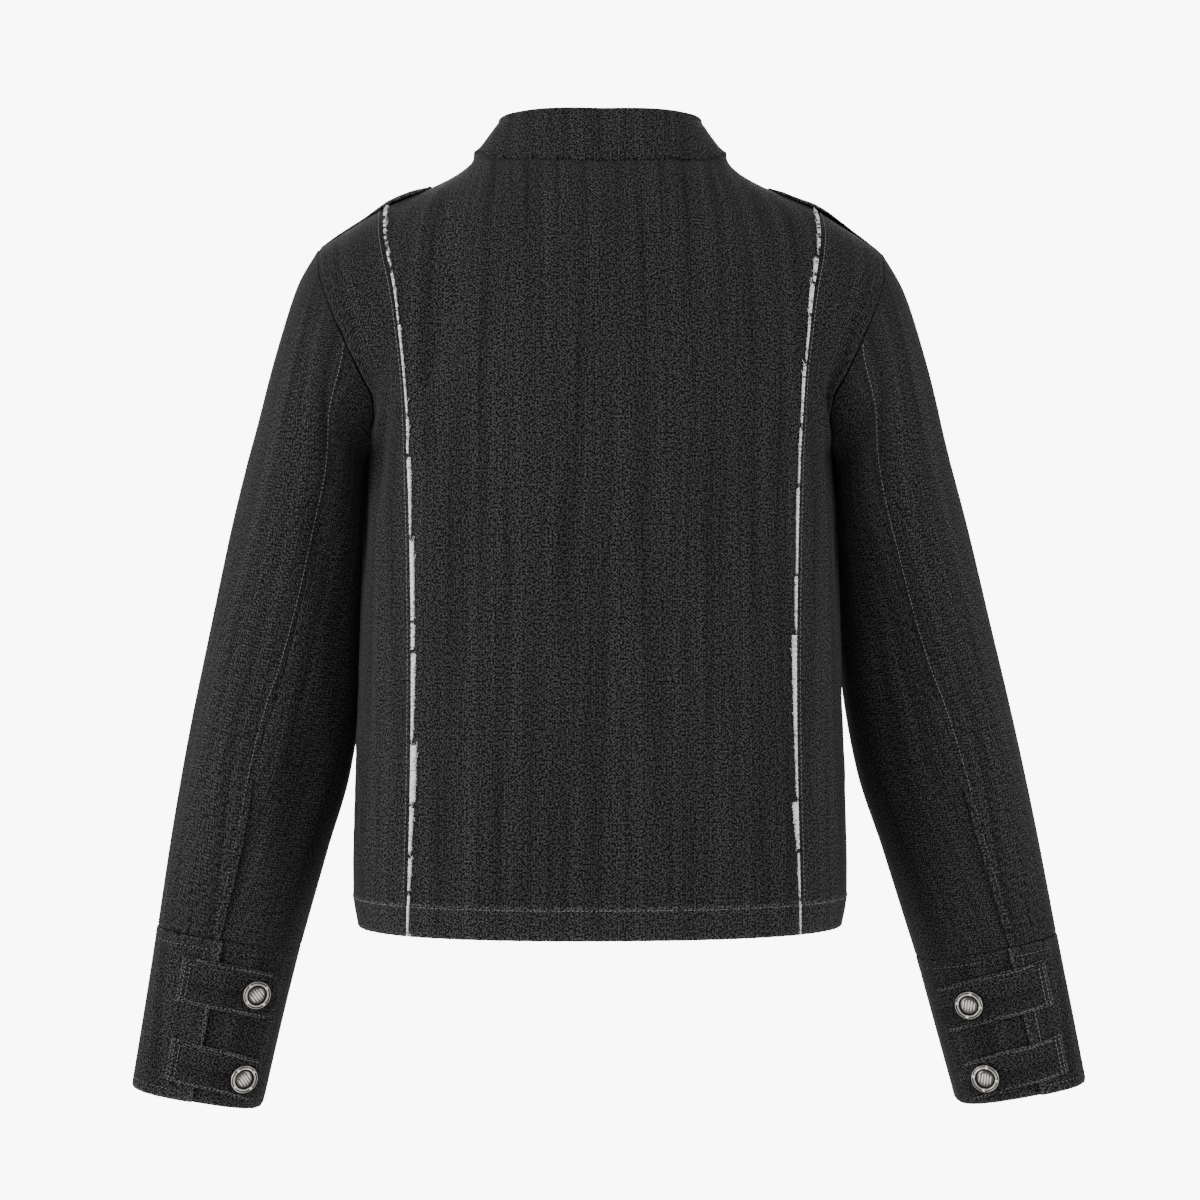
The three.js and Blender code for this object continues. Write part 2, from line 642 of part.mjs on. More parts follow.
// Collar: angle 0 at the nape and 180 at the front, rise 0 at the seam and 1 at the top edge
function collarPoint(angle, rise) {
  const round = Math.abs(angle);
  const turn = radians(round);
  const chord = Math.floor(round / NECK_STEP);
  const before = neckSeam(chord * NECK_STEP);
  const after = neckSeam(Math.min((chord + 1) * NECK_STEP, 180));
  const onChord = before.lerp(after, round / NECK_STEP - chord);
  const seam = onChord.lerp(neckSeam(round), smooth(0, 0.3, rise));
  const top = vec(
    COLLAR_TOP_HALF_WIDTH * Math.sin(turn) ** 0.98,
    2 * Math.sin(turn) + (round < 90 ? COLLAR_TOP_BACK : COLLAR_TOP_FRONT) * Math.cos(turn),
    fromTable(COLLAR_HEIGHTS, "angle", round, "top"),
  );
  const place = seam.lerp(top, rise);
  const belly = COLLAR_BELLY * Math.sin(Math.PI * clamp(rise, 0, 1));
  place.x += belly * Math.sin(turn);
  place.y += belly * Math.cos(turn);
  place.z += SEAM_GAP;
  place.x *= Math.sign(angle) || 1;
  return place;
}

function makeCollar() {
  const outer = [];
  const inner = [];
  const last = 180 - (COLLAR_OPENING / NECK_HALF_WIDTH) * 57.3;
  const rises = [0, 0.3, 0.65, 1];
  const half = [0];
  for (let angle = NECK_STEP / 2; angle < 179; angle += NECK_STEP / 2) {
    half.push(angle);
  }
  half.push(175.5, last);
  for (const angle of [...half.slice(1).reverse().map((a) => -a), ...half]) {
    const toEnd = ((last - Math.abs(angle)) / 57.3) * 74;
    const inCorner = Math.max(COLLAR_CORNER - toEnd, 0);
    const corner = COLLAR_CORNER - Math.sqrt(COLLAR_CORNER ** 2 - inCorner ** 2);
    const outRow = [];
    const inRow = [];
    for (const step of rises) {
      const rise = step * (1 - corner / 36);
      const place = collarPoint(angle, rise);
      const out = normalOf(collarPoint, angle, rise, 1, 0.02, [-180, 180], [0, 1]);
      outRow.push(place.clone().addScaledVector(out, 0.3));
      inRow.push(place.clone().addScaledVector(out, 0.3 - BAND_WALL));
    }
    outer.push(outRow);
    inner.push(inRow);
  }
  addPiece("collar", closedWall(outer, inner), CLOTH_LOOK);
}
makeCollar();

// Point of a sleeve section: angle 0 outer, 90 back, 180 inner, 270 front
function sectionPoint(section, angle) {
  const turn = radians(angle);
  const c = signedPower(Math.cos(turn), 2 / section.power);
  const s = signedPower(Math.sin(turn), 2 / section.power);
  return vec(
    lerp(section.inX, section.outX, (1 + c) / 2),
    section.midY + section.deep * s,
    lerp(section.inZ, section.outZ, (1 + c) / 2),
  );
}

function raised(section, side) {
  const higher = { ...section };
  if (side > 0) {
    for (const key of Object.keys(LEFT_RAISE)) {
      higher[key] += LEFT_RAISE[key];
    }
  }
  return higher;
}

function armholeRing(angle) {
  const round = ((angle % 360) + 360) % 360;
  return round <= 180 ? armhole(round, 1) : armhole(360 - round, -1);
}

// Keeps a point clear of the side of the body
function clearOfBody(place, free) {
  if (place.z > UNDERARM_Z) {
    return place;
  }
  const z = clamp(place.z, HEM_Z, UNDERARM_Z);
  const half = fromTable(BODY_RINGS, "z", z, "half");
  const depth = fromTable(BODY_RINGS, "z", z, place.y > 0 ? "back" : "front");
  const inside = 1 - Math.min(Math.abs(place.y) / depth, 1) ** RING_POWER;
  const least = half * inside ** (1 / RING_POWER) + lerp(SEAM_GAP, BODY_CLEARANCE, free);
  const over = place.x - least;
  place.x = least + (over + Math.sqrt(over * over + 9 * free)) / 2;
  return place;
}

// How far both sleeves lean to the wearer's right at a height
function lean(z) {
  return SLEEVE_LEAN * clamp((UNDERARM_Z - 5 - z) / 440, 0, 1);
}

// Sleeve point: down 0 at the armhole and 1 at the cuff seam, before it is mirrored
function sleevePoint(angle, down, side) {
  const last = SLEEVE_SECTIONS.length;
  const at = clamp(down, 0, 1) * last;
  const i = Math.min(Math.floor(at), last - 1);
  const ring = (k) => {
    if (k < 1) {
      return armholeRing(angle);
    }
    const section = SLEEVE_SECTIONS[Math.min(k, last) - 1];
    return sectionPoint(k < last ? section : raised(section, side), angle);
  };
  const p0 = ring(i - 1);
  const p1 = ring(i);
  const p2 = ring(i + 1);
  const p3 = ring(i + 2);
  const leave = p2.clone().sub(p0).multiplyScalar(0.5);
  const arrive = p3.sub(p1).multiplyScalar(0.5);
  const place = hermite(p1, p2, leave, arrive, at - i);
  clearOfBody(place, smooth(0, 0.9, at));
  place.x -= side * lean(place.z);
  return place;
}

function sleeveOwnNormal(angle, down, side) {
  const surface = (a, d) => sleevePoint(a, d, side);
  return normalOf(surface, angle, down, 2, 0.006, [-720, 720], [0, 1]).negate();
}

// Where the sleeve is sewn in, both walls lean on the middle between their normals
function meetNormals(own, other) {
  return own.clone().addScaledVector(other, smooth(-0.3, 0.4, own.dot(other))).normalize();
}

function sleeveNormal(angle, down, side) {
  const own = sleeveOwnNormal(angle, down, side);
  if (down > 0) {
    return own;
  }
  const round = ((angle % 360) + 360) % 360;
  const faceBack = round <= 180 ? 1 : -1;
  const rise = 1 - (round <= 180 ? round : 360 - round) / 180;
  return meetNormals(own, bodyNormal(1, LOWER_LENGTH + UPPER_LENGTH * rise, faceBack));
}

const seamAngle = (down, side) => {
  const rows = [{ seam: 90 }, ...SLEEVE_SECTIONS].map((row, k) => ({ at: k, seam: row.seam }));
  const turn = side * CUFF_TURN * smooth(5.5, 8, down * (rows.length - 1));
  return fromTable(rows, "at", down * (rows.length - 1), "seam") + turn;
};

function mirrored(place, side) {
  place.x *= side;
  return place;
}

// Height of a sleeve's folds, which fade at its ends and don't stand out towards the body
function sleeveFold(angle, down, side) {
  const rows = SLEEVE_FOLDS[labelOf(side)];
  const high = foldHeight(rows, angle, down, 0.95, -505) + foldHeight(rows, angle - 360, down, 0.95, -505);
  const round = (angle + 720) % 360;
  const facing = smooth(115, 145, round) * (1 - smooth(225, 250, round));
  const ends = smooth(0, 0.1, down) * smooth(0, 0.06, 1 - down);
  return ends * (high > 0 ? high * (1 - facing) : high);
}

// Angles of the armhole rows from the front seam over the shoulder and the back to the front seam
const headAngle = (i) => 180 * (1 - upperRise(i));
const topHead = [];
for (let i = HEAD_FRONT; i <= UPPER_ROWS; i += 1) {
  topHead.push(-headAngle(i));
}
for (let i = UPPER_ROWS - 1; i >= HEAD_BACK; i -= 1) {
  topHead.push(headAngle(i));
}
const underHead = [];
for (let i = HEAD_BACK; i >= 0; i -= 1) {
  underHead.push(headAngle(i));
}
for (let i = 1; i <= HEAD_FRONT; i += 1) {
  underHead.push(360 - headAngle(i));
}

// Half of a sleeve from its armhole angles down to the cuff seam, between two seams
function sleeveHalf(name, side, head, from, to) {
  const outer = [];
  const inner = [];
  const last = head.length - 1;
  for (const down of SLEEVE_ROWS) {
    const outRow = [];
    const inRow = [];
    for (let j = 0; j <= last; j += 1) {
      const gap = ANGLE_GAP * ((j === 0) - (j === last));
      const angle = lerp(head[j], lerp(from(down), to(down), j / last), smooth(0, 0.16, down)) + gap;
      const place = sleevePoint(angle, down, side);
      const out = sleeveNormal(angle, down, side);
      if (down === 0) {
        const leave = sleevePoint(angle, 0.01, side).sub(place).normalize();
        place.addScaledVector(leave, SEAM_GAP);
      }
      place.addScaledVector(out, sleeveFold(angle, down, side));
      outRow.push(mirrored(place.clone(), side));
      inRow.push(mirrored(place.clone().addScaledVector(out, -CLOTH_WALL), side));
    }
    outer.push(outRow);
    inner.push(inRow);
  }
  addPiece(name, closedWall(outer, inner), CLOTH_LOOK);
}

for (const [label, side] of SIDES) {
  const back = (down) => seamAngle(down, side);
  const front = (down) => -100 - 6 * down;
  sleeveHalf(`sleeve_top_${label}`, side, topHead, front, back);
  sleeveHalf(`sleeve_under_${label}`, side, underHead, back, (d) => front(d) + 360);
}

// Cuff: round is the angle on from the vent, through the outer side and the front, to the lap
function cuffPoint(angle, drop, side) {
  const low = clamp(drop / CUFF_HEIGHT, 0, 1);
  const section = {};
  const top = raised(CUFF_TOP, side);
  for (const key of Object.keys(top)) {
    section[key] = lerp(top[key], CUFF_HEM[key], low);
  }
  const place = sectionPoint(section, angle);
  place.x -= side * lean(place.z);
  return place;
}

function cuffNormal(angle, drop, side) {
  const surface = (a, d) => cuffPoint(a, d, side);
  return normalOf(surface, angle, drop, 2, 3, [-720, 720], [0, CUFF_HEIGHT]).negate();
}

const ventAngle = (side) => CUFF_VENT + side * CUFF_TURN;
const cuffSink = (round) => UNDER_DEPTH * smooth(250, 350, round);

function makeCuff(label, side) {
  const outer = [];
  const inner = [];
  const steps = 34;
  for (let i = 0; i <= steps; i += 1) {
    const round = lerp(0, 360 + CUFF_LAP, i / steps);
    const sink = cuffSink(round);
    const outRow = [];
    const inRow = [];
    for (const drop of [0, 4, 30, 60, 88, CUFF_HEIGHT]) {
      const angle = ventAngle(side) - round;
      const place = cuffPoint(angle, drop, side);
      const out = cuffNormal(angle, drop, side);
      outRow.push(mirrored(place.clone().addScaledVector(out, -sink), side));
      inRow.push(mirrored(place.clone().addScaledVector(out, -sink - BAND_WALL), side));
    }
    outer.push(outRow);
    inner.push(inRow);
  }
  addPiece(`cuff_${label}`, closedWall(outer, inner), CLOTH_LOOK);
}

// Height of a tab's underside over the cuff, lower past the vent where the lap ends
const tabLift = (on) => 0.45 - cuffSink(360 - on) * smooth(1, 14, on);

function tabPoint(tab, on, drop, side, lift) {
  const angle = ventAngle(side) + on;
  const place = cuffPoint(angle, drop, side);
  return place.addScaledVector(cuffNormal(angle, drop, side), tabLift(on) + lift);
}

function makeTab(key, label, side) {
  const tab = TABS[label][key];
  const outer = [];
  const inner = [];
  const middle = (tab.top + tab.bottom) / 2;
  const half = (tab.bottom - tab.top) / 2;
  const marks = [0, 0.06, 0.075, 0.18, 0.27, 0.33, 0.4, 0.48, 0.58, 0.68, 0.79, 0.9, 1];
  for (const mark of marks) {
    const on = lerp(tab.from, tab.to, mark);
    const fold = mark < 0.07 ? TAB_FOLD : 0;
    const narrow = mark > 0.95 ? TAB_POINT_SHARE : 1;
    const outRow = [];
    const inRow = [];
    for (const across of [-1, -0.34, 0.34, 1]) {
      const drop = middle + tab.tilt * mark + half * across * narrow;
      inRow.push(mirrored(tabPoint(tab, on, drop, side, 0), side));
      outRow.push(mirrored(tabPoint(tab, on, drop, side, TAB_WALL + fold), side));
    }
    outer.push(outRow);
    inner.push(inRow);
  }
  addPiece(`cuff_tab_${key}_${label}`, closedWall(outer, inner), CLOTH_LOOK);
}

// Button profile: rim, ring groove and domed centre on a short shank
function buttonGeometry(plain) {
  const r = BUTTON_RADIUS;
  const h = BUTTON_HEIGHT;
  const dome = [
    [0, 0],
    [r * 0.42, 0],
    [r * 0.42, h * 0.22],
    [r * 0.93, h * 0.3],
    [r, h * 0.46],
    [r * 0.96, h * 0.66],
    [r * 0.84, h * 0.78],
    [r * 0.7, h * 0.66],
    [r * 0.62, h * 0.64],
    [r * 0.4, h * 0.9],
    [0, h],
  ];
  const rows = plain ? dome.filter((row, k) => [0, 1, 3, 4, 6, 10].includes(k)) : dome;
  return new THREE.LatheGeometry(rows.map(([x, y]) => new THREE.Vector2(x, y)), plain ? 12 : 16);
}

// Sets a button on a surface point, its face turned to a direction
function addButton(name, place, direction, plain) {
  const lathe = buttonGeometry(plain);
  const turn = new THREE.Quaternion().setFromUnitVectors(vec(0, 1, 0), direction.clone().normalize());
  lathe.applyQuaternion(turn);
  lathe.translate(place.x, place.y, place.z);
  addPiece(name, lathe, METAL_LOOK);
}

for (const [label, side] of SIDES) {
  makeCuff(label, side);
  for (const key of ["upper", "lower"]) {
    makeTab(key, label, side);
    const tab = TABS[label][key];
    const mark = (tab.button - tab.from) / (tab.to - tab.from);
    const drop = (tab.top + tab.bottom) / 2 + tab.tilt * mark;
    const spot = tabPoint(tab, tab.button, drop, side, TAB_WALL + 0.9);
    const out = cuffNormal(ventAngle(side) + tab.button, drop, side);
    addButton(`cuff_button_${key}_${label}`, mirrored(spot, side), mirrored(out, side));
  }
}

// Shoulder strap: out 0 at its inner end and 1 at the armhole, across in millimetres to the back
function strapPoint(out, across, side, lift) {
  const share = lerp(NECK_SHARE + STRAP_END_SHARE * (1 - NECK_SHARE), 1 - 0.012, out);
  const faceBack = across >= 0 ? 1 : -1;
  const along = BODY_LENGTH - Math.abs(across) * 0.86;
  const place = bodyPoint(share, along, faceBack);
  const back = bodyNormal(share, BODY_LENGTH - Math.max(across, 0) * 0.86, 1);
  const front = bodyNormal(share, BODY_LENGTH - Math.max(-across, 0) * 0.86, -1);
  const normal = front.lerp(back, smooth(-12, 12, across)).normalize();
  place.addScaledVector(normal, lift);
  return mirrored(place, side);
}

function makeStrap(label, side) {
  const outer = [];
  const inner = [];
  for (const out of [0, 0.09, 0.2, 0.32, 0.45, 0.58, 0.7, 0.82, 0.92, 1]) {
    const lift = STRAP_GAP + STRAP_LIFT * Math.exp(-(((out - STRAP_BULGE[label]) / 0.28) ** 2));
    const narrow = out < 0.05 ? 0.5 : 1;
    const outRow = [];
    const inRow = [];
    for (const share of [-1, -0.66, -0.33, 0, 0.33, 0.66, 1]) {
      const across = (share * STRAP_WIDTH * narrow) / 2 - STRAP_FORWARD;
      inRow.push(strapPoint(out, across, side, lift));
      outRow.push(strapPoint(out, across, side, lift + STRAP_WALL));
    }
    outer.push(outRow);
    inner.push(inRow);
  }
  addPiece(`epaulette_${label}`, closedWall(outer, inner), CLOTH_LOOK);
}
for (const [label, side] of SIDES) {
  makeStrap(label, side);
}

// Front buttons stand on the upper lap
FRONT_BUTTONS.forEach((z, k) => {
  let low = 20;
  let high = BODY_LENGTH - 10;
  for (let i = 0; i < 30; i += 1) {
    const along = (low + high) / 2;
    if (bodyPoint(0, along, -1).z < z) {
      low = along;
    } else {
      high = along;
    }
  }
  const out = bodyNormal(0, low, -1);
  const rise = HEM_RISE * (1 - smooth(HEM_DEPTH - 1.3, HEM_DEPTH + 1.3, low));
  addButton(`front_button_${k + 1}`, bodyPoint(0, low, -1).addScaledVector(out, 0.5 + rise), out, true);
});

export default jacket;
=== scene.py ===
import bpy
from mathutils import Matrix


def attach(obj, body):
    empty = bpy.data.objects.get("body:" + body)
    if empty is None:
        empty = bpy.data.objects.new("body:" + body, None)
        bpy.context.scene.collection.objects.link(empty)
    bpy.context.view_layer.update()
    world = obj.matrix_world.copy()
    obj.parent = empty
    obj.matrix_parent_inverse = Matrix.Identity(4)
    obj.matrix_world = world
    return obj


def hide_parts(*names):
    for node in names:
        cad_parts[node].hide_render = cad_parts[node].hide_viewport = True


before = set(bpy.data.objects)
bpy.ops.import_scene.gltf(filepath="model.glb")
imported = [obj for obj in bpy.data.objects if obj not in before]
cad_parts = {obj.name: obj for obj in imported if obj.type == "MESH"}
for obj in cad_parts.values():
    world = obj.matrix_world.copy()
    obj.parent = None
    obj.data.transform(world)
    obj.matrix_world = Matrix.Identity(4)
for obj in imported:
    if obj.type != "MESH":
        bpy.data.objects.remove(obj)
"""Cropped denim jacket with a stand collar, seen from behind, hollow and filled out as on a wearer.

Metres, +Z up, the front faces -Y and the wearer's left is +X. Every cloth piece is a grid of points on the
form of its solid: a function of two coordinates gives the surface, its folds move the points along the
normal, and a second grid one cloth thickness further in closes the wall. Lengths inside the form functions
are millimetres, as the garment is measured, and the functions that make meshes turn them to metres.
"""
import math
import bpy
import numpy as np

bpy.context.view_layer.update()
DETAIL = 1.0
MM = 0.001
BACK, FRONT = 1, -1
LEFT, RIGHT = 1, -1
SIDES = (("left", LEFT), ("right", RIGHT))

# Sizes
CLOTH_WALL = 1.5
BAND_WALL = 2.4
SEAM_GAP = 0.36
HEM_DEPTH = 23.0
HEM_Z = -534.0
UNDERARM_Z = -208.0
RING_POWER = 2.4
NECK_HALF_WIDTH = 88.0
NECK_SIDE = np.array([88.0, 4.0, 0.0])
SHOULDER_POINT = np.array([197.0, -3.0, -64.0])
NAPE_Y = 74.0
NECK_FRONT_Y = -78.0
NECK_SHARE = 0.45
LOWER_LENGTH = UNDERARM_Z - HEM_Z
UPPER_LENGTH = 190.0
BODY_LENGTH = LOWER_LENGTH + UPPER_LENGTH
# Millimetres of cloth for a whole share of the body (at its folds, and at its seams), for a degree round
# the sleeve and the cuff, and for a radian of the collar near its front end
BODY_WIDTH = 240.0
PANEL_WIDTH = 255.0
SLEEVE_DEGREE = 0.95
CUFF_DEGREE = 0.82
COLLAR_RADIAN = 74.0
RADIAN = 57.3
SHARE_GAP = SEAM_GAP / 2 / BODY_WIDTH

# Columns: height, half width, depth at the back, depth at the front
BODY_RINGS = np.array([
    [-534, 168, 113, 121],
    [-508, 172, 116, 124],
    [-440, 171, 115, 122],
    [-378, 169, 114, 122],
    [-308, 167, 117, 128],
    [-250, 165, 119.5, 133],
    [-208, 164, 120, 134],
], float)
# Columns: angle from the shoulder to the underarm, distance out
ARMHOLE_BACK = np.array([[0, 197], [43, 193.5], [60, 189], [75, 182], [90, 173.5], [104, 165.5],
                         [118, 157], [135, 155.5], [152, 160], [180, 164]], float)
ARMHOLE_FRONT = np.array([[0, 197], [30, 192], [60, 180], [90, 165], [118, 154], [135, 153.5],
                          [152, 159], [180, 164]], float)
ARMHOLE_HALF_HEIGHT = 72.0
ARMHOLE_HALF_DEPTH = 76.0
# Columns: height, distance of the back seam from the centre
BACK_SEAM = np.array([[-534, 132], [-490, 131], [-420, 129.5], [-340, 129], [-268, 130], [-202, 132],
                      [-162, 134], [-128, 137.5], [-100, 141], [-63, 148], [-34, 150]], float)
# Columns: angle from the nape, height of the collar seam, height of its top edge
COLLAR_HEIGHTS = np.array([[0, -12, 24], [45, -8, 25], [90, 0, 22], [135, -30, 3], [180, -62, -28]], float)
COLLAR_TOP_HALF_WIDTH = 69.0
COLLAR_BELLY = 1.4
COLLAR_WAIST = 3.0
SHOULDER_CROWN = 2.4
SHOULDER_DIP = 5.2
COLLAR_TOP_BACK = 60.0
COLLAR_TOP_FRONT = 63.0
COLLAR_OPENING = 1.6
COLLAR_CORNER = 12.0
COLLAR_BAND = 36.0
# Columns: outer x and z, inner x and z, middle y, half depth, roundness, angle of the back seam
SLEEVE_SECTIONS = np.array([
    [212, -93, 166, -217, 0, 77, 2.1, 108],
    [227, -140, 168, -234, -2, 75, 2.2, 114],
    [240, -190, 169, -258, -7, 72, 2.3, 112],
    [258, -255, 171, -298, -15, 67, 2.3, 106],
    [275, -325, 174, -356, -23, 62, 2.3, 97],
    [292, -398, 179, -424, -28, 59, 2.3, 88],
    [305.5, -466, 198, -487, -30, 54, 2.4, 88],
    [319, -543.4, 220.5, -562.2, -32, 45, 2.7, 86],
], float)
CUFF_TOP = np.array([319.4, -544, 220.6, -562.8, -32, 45.5, 2.7])
CUFF_HEM = np.array([338.5, -649, 247, -665.5, -34, 41, 2.8])
CUFF_HEIGHT = 107.0
LEFT_RAISE = np.array([-1.4, 7.5, -2.6, 10, 0, 0, 0])
SLEEVE_LEAN = 9.0
SLEEVE_LENGTH = 505.0
# Degrees round the sleeve: half the gap at a seam, and how far the under half runs on below the vent
SLEEVE_SEAM_GAP = 0.03
VENT_OVERLAP = 6
CUFF_TURN = 2.6
CUFF_VENT = 87.3
CUFF_LAP = 24.0
BODY_CLEARANCE = -0.3
SLEEVE_PRESS = 5.0
UNDER_DEPTH = BAND_WALL + SEAM_GAP
# Each tab: top and lower edge below the cuff seam at its sewn end, how much lower its free end lies,
# first and last angle past the vent, button angle
TABS = {
    "left": {"upper": (12.5, 42.5, 5, -22.5, 57, 28), "lower": (66.5, 94, 9, -19.5, 61, 33)},
    "right": {"upper": (12.5, 45, 9, -26, 77, 31), "lower": (66.5, 94, 11, -27, 67, 32.5)},
}
TAB_WALL = 1.8
STRAP_WIDTH = 42.0
STRAP_WALL = 2.2
STRAP_LENGTH = 84.0
STRAP_FORWARD = 6.0
STRAP_END_SHARE = 0.27
STRAP_GAP = 0.25
STRAP_LIFT = 1.9
STRAP_BULGE = {LEFT: 0.26, RIGHT: 0.55}
BUTTON_RADIUS = 9.8
BUTTON_HEIGHT = 5.4
BUTTON_SEAT = 0.9
BUTTON_TILT = {LEFT: 0.65, RIGHT: -0.15}
FRONT_BUTTONS = (-84, -168, -252, -336, -420, -500)
FRONT_LAP = 16.0
STITCH_PITCH = 3.1
HEM_STITCH = 2.2
BACK_SEAM_STITCH = 5.0
CUFF_STITCH = 6.5
COLLAR_STITCH = 2.6
SLEEVE_STITCH = 3.4


# Small tools
def smooth(low, high, value):
    """Smooth step from 0 at low to 1 at high."""
    share = np.clip((value - low) / (high - low), 0, 1)
    return share * share * (3 - 2 * share)


def signed_power(value, power):
    """The size of a value to a power, with the value's own sign."""
    return np.sign(value) * np.abs(value) ** power


def column(rows, key, at, col):
    """Smooth curve through one column of a table, read at the values of its key column."""
    x, y = rows[:, key], rows[:, col]
    at = np.asarray(at, float)
    last = len(x) - 1
    i = np.clip(np.searchsorted(x, at, side="left") - 1, 0, last - 1)
    before, after = np.maximum(np.arange(last + 1) - 1, 0), np.minimum(np.arange(last + 1) + 1, last)
    slope = (y[after] - y[before]) / (x[after] - x[before])
    span = x[i + 1] - x[i]
    u = np.clip((at - x[i]) / span, 0, 1)
    u2, u3 = u * u, u * u * u
    return ((2 * u3 - 3 * u2 + 1) * y[i] + (u3 - 2 * u2 + u) * span * slope[i]
            + (3 * u2 - 2 * u3) * y[i + 1] + (u3 - u2) * span * slope[i + 1])


def stack(x, y, z):
    """Points from three arrays of coordinates."""
    return np.stack(np.broadcast_arrays(x, y, z), axis=-1).astype(float)


def hermite(start, end, leave, arrive, u):
    """A cubic curve between two points with a given speed at each end."""
    u = np.asarray(u, float)[..., None]
    u2, u3 = u * u, u * u * u
    return (start * (2 * u3 - 3 * u2 + 1) + leave * (u3 - 2 * u2 + u)
            + end * (3 * u2 - 2 * u3) + arrive * (u3 - u2))


def unit(v):
    """A vector divided by its length."""
    return v / np.maximum(np.linalg.norm(v, axis=-1, keepdims=True), 1e-9)


def mirrored(points, side):
    """Points or directions for a side of the garment: x times 1 on the left and -1 on the right."""
    out = points.copy()
    out[..., 0] *= side
    return out


# Body form
def body_ring(share, z, face):
    """A level: a quarter superellipse from the centre (share 0) to the side (share 1 or -1)."""
    turn = np.abs(share) * math.pi / 2
    half = column(BODY_RINGS, 0, z, 1)
    depth = column(BODY_RINGS, 0, z, 2 if face > 0 else 3)
    return stack(np.sign(share) * half * np.sin(turn) ** (2 / RING_POWER),
                 face * depth * np.maximum(np.cos(turn), 0) ** (2 / RING_POWER), z)


def armhole(angle, face):
    """The seam round the arm: angle 0 at the shoulder, 180 at the underarm."""
    turn = np.radians(angle)
    out = column(ARMHOLE_BACK if face > 0 else ARMHOLE_FRONT, 0, angle, 1)
    middle = (SHOULDER_POINT[2] + UNDERARM_Z) / 2
    return stack(out, SHOULDER_POINT[1] * 0.5 * (1 + np.cos(turn)) + face * ARMHOLE_HALF_DEPTH * np.sin(turn),
                 middle + ARMHOLE_HALF_HEIGHT * np.cos(turn))


def neck_seam(angle):
    """The collar seam: angle 0 at the nape, 90 at the side, 180 at the front."""
    turn = np.radians(angle)
    depth = np.where(angle < 90, NAPE_Y, -NECK_FRONT_Y)
    return stack(NECK_HALF_WIDTH * np.abs(np.sin(turn)) ** 0.9,
                 NECK_SIDE[1] * np.sin(turn) + depth * np.cos(turn), column(COLLAR_HEIGHTS, 0, angle, 1))


def top_edge(share, face):
    """Upper edge of a body half: the collar seam up to NECK_SHARE, then a straight shoulder line with a low
    crown, half a sine wave, and a dip beside the neck."""
    out = np.abs(share)
    part = 90 * np.minimum(out / NECK_SHARE, 1)
    neck = neck_seam(part if face > 0 else 180 - part)
    along = np.clip((out - NECK_SHARE) / (1 - NECK_SHARE), 0, 1)
    shoulder = NECK_SIDE + (SHOULDER_POINT - NECK_SIDE) * along[..., None]
    dip = np.sin(math.pi * np.minimum(along / 0.55, 1) ** 0.6)
    shoulder[..., 2] += SHOULDER_CROWN * np.sin(math.pi * along) - SHOULDER_DIP * dip
    place = np.where((out < NECK_SHARE)[..., None], neck, shoulder)
    place[..., 0] *= np.where(share < 0, -1, 1)
    return place


def upper_body(share, rise, face):
    """A half of the body above the underarm: cubic curves from the underarm ring to the top edge, plus
    the difference to the armhole, which fades towards the centre as the share to the power 2.2."""
    out = np.abs(share)
    side = np.where(share < 0, -1.0, 1.0)
    start = body_ring(share, np.full(np.shape(share), UNDERARM_Z), face)
    end = top_edge(share, face)
    zero = np.zeros(np.shape(share))
    blend = smooth(0, 0.6, out)
    leave = stack(zero, face * 12 * np.sin(math.pi * out), (end[..., 2] - start[..., 2]) * 1.02)
    fall = 150 + 90 * blend if face > 0 else 80 + 130 * blend
    climb = 120 - 80 * smooth(0.1, 0.6, out) if face > 0 else 130 - 70 * smooth(0.1, 0.6, out)
    place = hermite(start, end, leave, stack(zero, -face * fall, climb), rise)
    edge = armhole(180 * (1 - rise), face)
    edge[..., 0] *= side
    outer = hermite(body_ring(side, np.full(np.shape(share), UNDERARM_Z), face), top_edge(side, face),
                    stack(zero, zero, zero + (SHOULDER_POINT[2] - UNDERARM_Z) * 1.02),
                    stack(zero, zero - face * 240, zero + (40 if face > 0 else 60)), rise)
    return place + (edge - outer) * (out ** 2.2)[..., None]


def body_point(share, along, face):
    """The body's surface: along is the length of cloth up from the hem."""
    share, along = np.broadcast_arrays(np.asarray(share, float), np.asarray(along, float))
    low = body_ring(share, HEM_Z + np.minimum(along, LOWER_LENGTH), face)
    high = upper_body(share, np.clip((along - LOWER_LENGTH) / UPPER_LENGTH, 0, 1), face)
    return np.where((along <= LOWER_LENGTH)[..., None], low, high)


def normal_of(surface, u, v, du, dv, u_ends, v_ends):
    """Unit normal of a surface from the cross product of its two differences."""
    u0, u1 = np.maximum(u - du, u_ends[0]), np.minimum(u + du, u_ends[1])
    v0, v1 = np.maximum(v - dv, v_ends[0]), np.minimum(v + dv, v_ends[1])
    return unit(np.cross(surface(u1, v) - surface(u0, v), surface(u, v1) - surface(u, v0)))


def body_normal(share, along, face):
    """Normal of a body half, turned to the mean of both halves' normals where they meet at a seam."""
    share, along = np.broadcast_arrays(np.asarray(share, float), np.asarray(along, float))
    ends = (-1, 1), (0, BODY_LENGTH)
    own = -face * normal_of(lambda s, a: body_point(s, a, face), share, along, 0.01, 2, *ends)
    other = face * normal_of(lambda s, a: body_point(s, a, -face), share, along, 0.01, 2, *ends)
    at_side = smooth(0.97, 1, np.abs(share)) * (along <= LOWER_LENGTH)
    at_top = smooth(BODY_LENGTH - 6, BODY_LENGTH, along) * (np.abs(share) > NECK_SHARE)
    meet = np.maximum(at_side, at_top)[..., None]
    return unit(own * (1 - meet) + (own + other) * 0.5 * meet)


